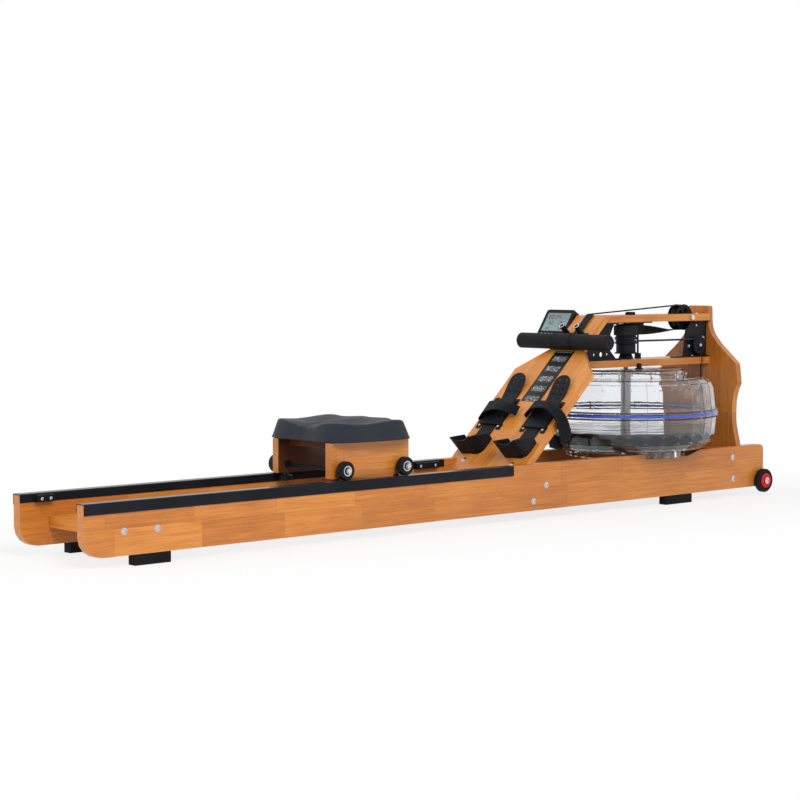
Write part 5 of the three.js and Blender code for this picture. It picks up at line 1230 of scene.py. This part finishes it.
# %% Red hubs and their bolts
RED_HUB = [(9.4, 0, 0), (9.4, 1.0, 0), (10.6, 1.9, 0), (12.6, 2.0, 0), (13.2, 1.2, 0), (14.2, 1.2, 0),
           (14.8, 2.0, 0), (17.6, 1.8, 0), (19.2, 0.9, 0), (19.4, 0, 0)]
WHEEL_X, WHEEL_Z, HUB_FACE, BOLT_SEAT = 2089, 38, 153.05, 157.35
red_plastic = black_skin("red_plastic", (0.50, 0.006, 0.012), 0.30, 1500.0, 0.00004)
for side, sign in (("left", 1), ("right", -1)):
    turned(f"{side}_wheel_hub", RED_HUB, [((WHEEL_X, sign * HUB_FACE, WHEEL_Z), (0, sign, 0))], red_plastic,
           f"{side}_transport_wheel", "black_plastic", looped=True, count=64)
wheel_bolts = [((WHEEL_X, sign * BOLT_SEAT, WHEEL_Z), (0, sign, 0)) for sign in BOTH]
turned("wheel_bolts", BUTTON, wheel_bolts, bright_steel)
print("two wheel hubs, each turned of", len(RED_HUB), "points")

# %% [markdown]
# ## The tank's rings and bolts
# Two thin dark rings clamp the seam, with twelve bolts through them, and the lid and the base ring have bolts
# of their own. A fill plug stands in the lid. The same lathe does all of it, in circles of spots.

# %% Rings and bolts of the tank
STUD = [(2.6, 0, 0), (2.6, 0.9, 0), (2.3, 1.2, 0.5), (2.3, 2.8, 1), (1.5, 3.2, 0.3), (1.45, 17.8, 0),
        (2.3, 18.2, 1), (2.3, 19.8, 1), (2.6, 20.1, 0), (2.6, 21.0, 0), (0.05, 21.4, 0)]
PLUG = [(10.0, 0, 0), (10.0, 2.0, 0), (9.4, 2.8, 0), (6.8, 3.0, 0), (6.5, 3.6, 0), (6.5, 12.6, 0),
        (6.0, 13.6, 0), (4.0, 14.0, 0), (0.05, 14.0, 0)]
LIP = [(227.6, 222.2, 0), (234.2, 222.2, 0), (234.8, 222.8, 0), (234.8, 223.5, 0), (229.6, 223.9, 0),
       (229.2, 225.9, 0), (227.6, 225.9, 0)]
TWICE_SEAM = 464.2


def circle(radius, height, count, first):
    """Spots at even angles round the tank, with their axes upright."""
    angle = np.radians(first + np.arange(count) * 360.0 / count)
    return [((TANK_AXIS[0] + radius * math.cos(a), radius * math.sin(a), height), UPRIGHT) for a in angle]


def stud(length):
    """The stud's profile with its heights times that share."""
    return [(radius, height * length, hexness) for radius, height, hexness in STUD]


upper_lip = [(radius, TWICE_SEAM - height, 0) for radius, height, _ in LIP]
lips = [np.swapaxes(turned_rows(section, TANK_AXIS, UPRIGHT, 144), 0, 1) for section in (LIP, upper_lip)]
on_frame(skins("seam_rings", lips, dark_steel, looped=True), "frame", "steel")
turned("seam_bolts", STUD, circle(231.3, 221.6, 12, 6.5), bright_steel, count=12)
turned("lid_bolts", stud(0.95), circle(153.5, 311.8, 12, 6.5), bright_steel, count=12)
turned("base_bolts", stud(0.62), circle(145.0, 120.4, 10, 2.0), bright_steel, count=12)
turned("fill_plug", PLUG, [((1700, -55, 342.1), UPRIGHT)], moulding, slot="black_plastic", count=32)
print("two seam rings and 34 tank bolts")

# %% [markdown]
# ## The handle's wrap and ends
# The foam sleeve of the handle has a second layer round its middle, where the strap is sewn in, and a plug in
# each end. The layer's two edges show as fine ridges, and each plug as a shallow dish with a rim.

# %% Wrap edges and end plugs of the handle
HANDLE = np.array([1485.1, 0.0, 415.1])
WRAP_EDGE, HANDLE_END = 29.0, 154.02
RIDGE = [(20.3, 0, 0), (21.0, 0.1, 0), (21.3, 0.8, 0), (21.2, 1.6, 0), (20.6, 2.2, 0), (20.3, 2.2, 0)]
DISH = [(15.5, 0, 0), (15.3, 0.6, 0), (14.6, 0.9, 0), (13.2, 0.9, 0), (12.6, 0.4, 0), (4.0, 0.2, 0),
        (3.4, 0.8, 0), (0.05, 0.9, 0)]
ridges, ends = ([(HANDLE + (0, side * out, 0), (0, side, 0)) for side in BOTH]
                for out in (WRAP_EDGE, HANDLE_END))
turned("wrap_edges", RIDGE, ridges, moulding, "handle", "grip_rubber", looped=True, count=64)
turned("handle_plugs", DISH, ends, moulding, "handle", "grip_rubber", count=48)
print("handle dressed")

# %% [markdown]
# ## The panel on the footboard
# A thin black panel runs down the middle of the footboard, with pale ripples in five groups on it. The plate
# is an outline carried through a few levels with its edges eased, and the ripples are a formula in its finish.

# %% Plates and the panel
PANEL_LOW, PANEL_HIGH, PANEL_HALF = 195.0, 367.0, 32.0
PANEL_MIDDLE, PANEL_LINE_UP = (PANEL_LOW + PANEL_HIGH) / 2, 82.0


def rounded(half_x, half_y, corner, count=6):
    """The outline of a rectangle with round corners: four quarter circles, joined by the straight sides."""
    turn = np.linspace(0, math.pi / 2, count)
    quarters = []
    for k, (sx, sy) in enumerate(((1, 1), (-1, 1), (-1, -1), (1, -1))):
        angle = turn + k * math.pi / 2
        quarters.append(np.stack([sx * (half_x - corner) + corner * np.cos(angle),
                                  sy * (half_y - corner) + corner * np.sin(angle)], -1))
    return np.concatenate(quarters)


def plate(to_scene, outline, low, high, ease=0.3):
    """An outline carried from low to high, its edges eased by shrinking the first and last rings a little."""
    size = np.abs(outline).max(axis=0)
    steps = ((low, ease), (low + ease, 0.0), (high - ease, 0.0), (high - ease * 0.3, ease * 0.7),
             (high, ease * 1.6))
    rows = [to_scene(*(outline * (1 - inset / size)).T, np.full(len(outline), out)) for out, inset in steps]
    return np.stack(rows)


def panel_ink():
    """Black with pale ripples in five groups: thin bright lines where a wave of the place up and across
    crosses zero, cut off by a soft mask toward the panel's sides and between the groups."""
    finish = Finish("panel_ink")
    place = finish.object_place()
    up, across = finish.along(place, UP_SLOPE) * 1000.0, finish.split(place)[1] * 1000.0
    bend = finish.noise(finish.join(up * 0.05, across * 0.06, 3.0), 1.0, 3.0, 0.6)
    wave = (up * 0.62 + (across * 0.16).wave() * 2.6 + bend * 22.0).wave().size()
    line = 1.0 - wave.step(0.14, 0.46)
    groups = (up * (2 * math.pi / 34.0) + (bend - 0.5) * 2.0).wave().step(-0.5, 0.5)
    inside = 1.0 - across.size().step(19.0, 26.0)
    fleck = finish.noise(place, 420.0, 3.0).step(0.42, 0.62)
    ink = line * groups * inside * (0.75 + fleck * 0.25)
    colour = finish.mix(ink, (0.0060, 0.0068, 0.0090), (0.95, 0.95, 0.98))
    return finish.surface(colour, 0.34 + fleck * 0.05, ink, 0.00002, Specular_IOR_Level=0.2)


def on_panel(up, side, out):
    """A point of the slope, counted from the panel's middle."""
    return on_slope(up + PANEL_MIDDLE, side, out)


def on_panel_line(up, side, out):
    """A point of the slope, counted from the middle of the panel's upper line."""
    return on_panel(up + PANEL_LINE_UP, side, out)


panel = plate(on_panel, rounded((PANEL_HIGH - PANEL_LOW) / 2, PANEL_HALF, 3.0), 0.1, 1.3)
on_frame(skins("foot_panel", [panel], panel_ink()), "frame", "black_plastic")
panel_line = plate(on_panel_line, rounded(0.9, PANEL_HALF - 5.0, 0.8), 1.0, 1.6, 0.15)
on_frame(skins("panel_line", [panel_line], brassy), "frame", "black_plastic")
print("panel", PANEL_HIGH - PANEL_LOW, "by", 2 * PANEL_HALF, "mm")

# %% [markdown]
# ## The monitor's figures and keys
# The monitor shows large figures of a liquid crystal over a row of marks for its keys. A figure is seven bars,
# and a bar is a flat lozenge, so each digit is only a list of which bars are on. The bars are real, thin
# plates, because a drawing in the material would need its own map, and so little geometry is cheap.

# %% Figures and key marks
MONITOR_TILT, MONITOR_PLACE = math.radians(57.0), (1578.0, 100.0, 491.5)
KEYS_UP, KEY_SIDES = -71.5, (-27, -15, -3, 9, 21, 34)
BARS = ((1, 0, 0), (0.5, 1, 1), (-0.5, 1, 1), (-1, 0, 0), (-0.5, -1, 1), (0.5, -1, 1), (0, 0, 0))
DIGITS = {"0": (0, 1, 2, 3, 4, 5), "1": (1, 2), "2": (0, 1, 6, 4, 3), "4": (5, 6, 1, 2), "5": (0, 5, 6, 2, 3),
          "6": (0, 5, 6, 4, 3, 2), "8": (0, 1, 2, 3, 4, 5, 6)}
READOUT = [("00", -22, 28, 10, 11), ("24", -22, 4, 10, 11), ("150", -40, 28, 8, 9), ("26", -40, -14, 8, 9),
           ("80", -56, 26, 7, 7), ("52", -56, -18, 7, 7)]


def on_monitor(up, side, out):
    """A point up the monitor's face from its top edge, sideways and out of it."""
    x = MONITOR_PLACE[0] + up * math.cos(MONITOR_TILT) - out * math.sin(MONITOR_TILT)
    z = MONITOR_PLACE[2] + up * math.sin(MONITOR_TILT) + out * math.cos(MONITOR_TILT)
    return drawn(x, MONITOR_PLACE[1] + side, z)


def figure(digit, up, side, height):
    """The bars of one digit. In half heights and half widths a bar's middle is at (up, side); 1 is upright."""
    half, wide, thick = height / 2, height * 0.26, height * 0.055
    blocks = []
    for at_up, at_side, upright in (BARS[k] for k in DIGITS[digit]):
        long = (half / 2 if upright else wide) - thick * 1.3
        tip = np.array([(-long - thick, 0), (-long, thick), (long, thick), (long + thick, 0), (long, -thick),
                        (-long, -thick)])
        bar = tip if upright else tip[:, ::-1]
        bar = bar + (up + at_up * half, side - at_side * wide)
        blocks.append(np.stack([on_monitor(*bar.T, out) for out in (0.0, 0.25)]))
    return blocks


def number(digits, up, side, pitch, height):
    """The bars of a row of digits, each a pitch further to the right than the one before."""
    return [block for k, digit in enumerate(digits) for block in figure(digit, up, side - k * pitch, height)]


def key_mark(side):
    """A small pale pill under the screen, that far sideways from the monitor's middle."""
    def on_key(up, across, out):
        """A point of the monitor's face, counted from the mark's middle."""
        return on_monitor(up + KEYS_UP, across + side, out)

    return plate(on_key, rounded(1.3, 3.4, 1.2), 0.0, 0.7, 0.15)


digit_bars = [block for row in READOUT for block in number(*row)]
ink_bars = black_skin("crystal_bars", (0.020, 0.026, 0.028), 0.4, 3000.0, 0.00001)
on_frame(skins("readout", digit_bars, ink_bars), "frame", "screen")
pale_marks = black_skin("key_marks", (0.42, 0.44, 0.47), 0.5, 900.0, 0.00002)
on_frame(skins("key_marks", [key_mark(side) for side in KEY_SIDES], pale_marks), "frame", "black_plastic")
print(len(digit_bars), "bars in the readout")

# %% [markdown]
# ## Peg rims and the cord's pulley
# The handle hangs under two hollow pegs, whose ends show as bright rims. The cord's upper pulley has a stepped
# cheek on its outer side, held by a nut. All three are turned, and the cheek rides on the pulley.

# %% Peg rims, cheek and hub nut
PEG_RIM = [(5.6, 0, 0), (7.4, 0, 0), (7.6, 0.4, 0), (7.6, 1.1, 0), (7.1, 1.6, 0), (6.0, 1.6, 0), (5.6, 1.2, 0)]
CHEEK = [(3.2, 0, 0), (3.2, 2.2, 0), (8.0, 2.6, 0), (9.0, 1.6, 0), (19.5, 1.4, 0), (20.5, 2.4, 0),
         (23.0, 2.2, 0), (23.6, 1.4, 0), (23.6, 0, 0)]
PEG_UP, PEG_OUT, CHEEK_Y, HUB_NUT_Y = 420, 36.9, -42.3, -45.0
pegs = [(slope_place(PEG_UP, side, PEG_OUT), OUT_OF_SLOPE) for side in (-25, 25)]
cheek_spot, nut_spot = ([((CORD_WHEEL_X, y, CORD_WHEEL_Z), TO_RIGHT)] for y in (CHEEK_Y, HUB_NUT_Y))
turned("peg_rims", PEG_RIM, pegs, brassy, looped=True, count=32)
turned("pulley_cheek", CHEEK, cheek_spot, wheel_plastic, "bungee_pulley", "black_plastic", looped=True,
       count=64)
turned("pulley_hub_nut", HEX_NUT, nut_spot, bright_steel)
print("peg rims and pulley cheek placed")

# %% [markdown]
# ## The last update
# The last call brings the view layer up to date.

# %% The last update
bpy.context.view_layer.update()
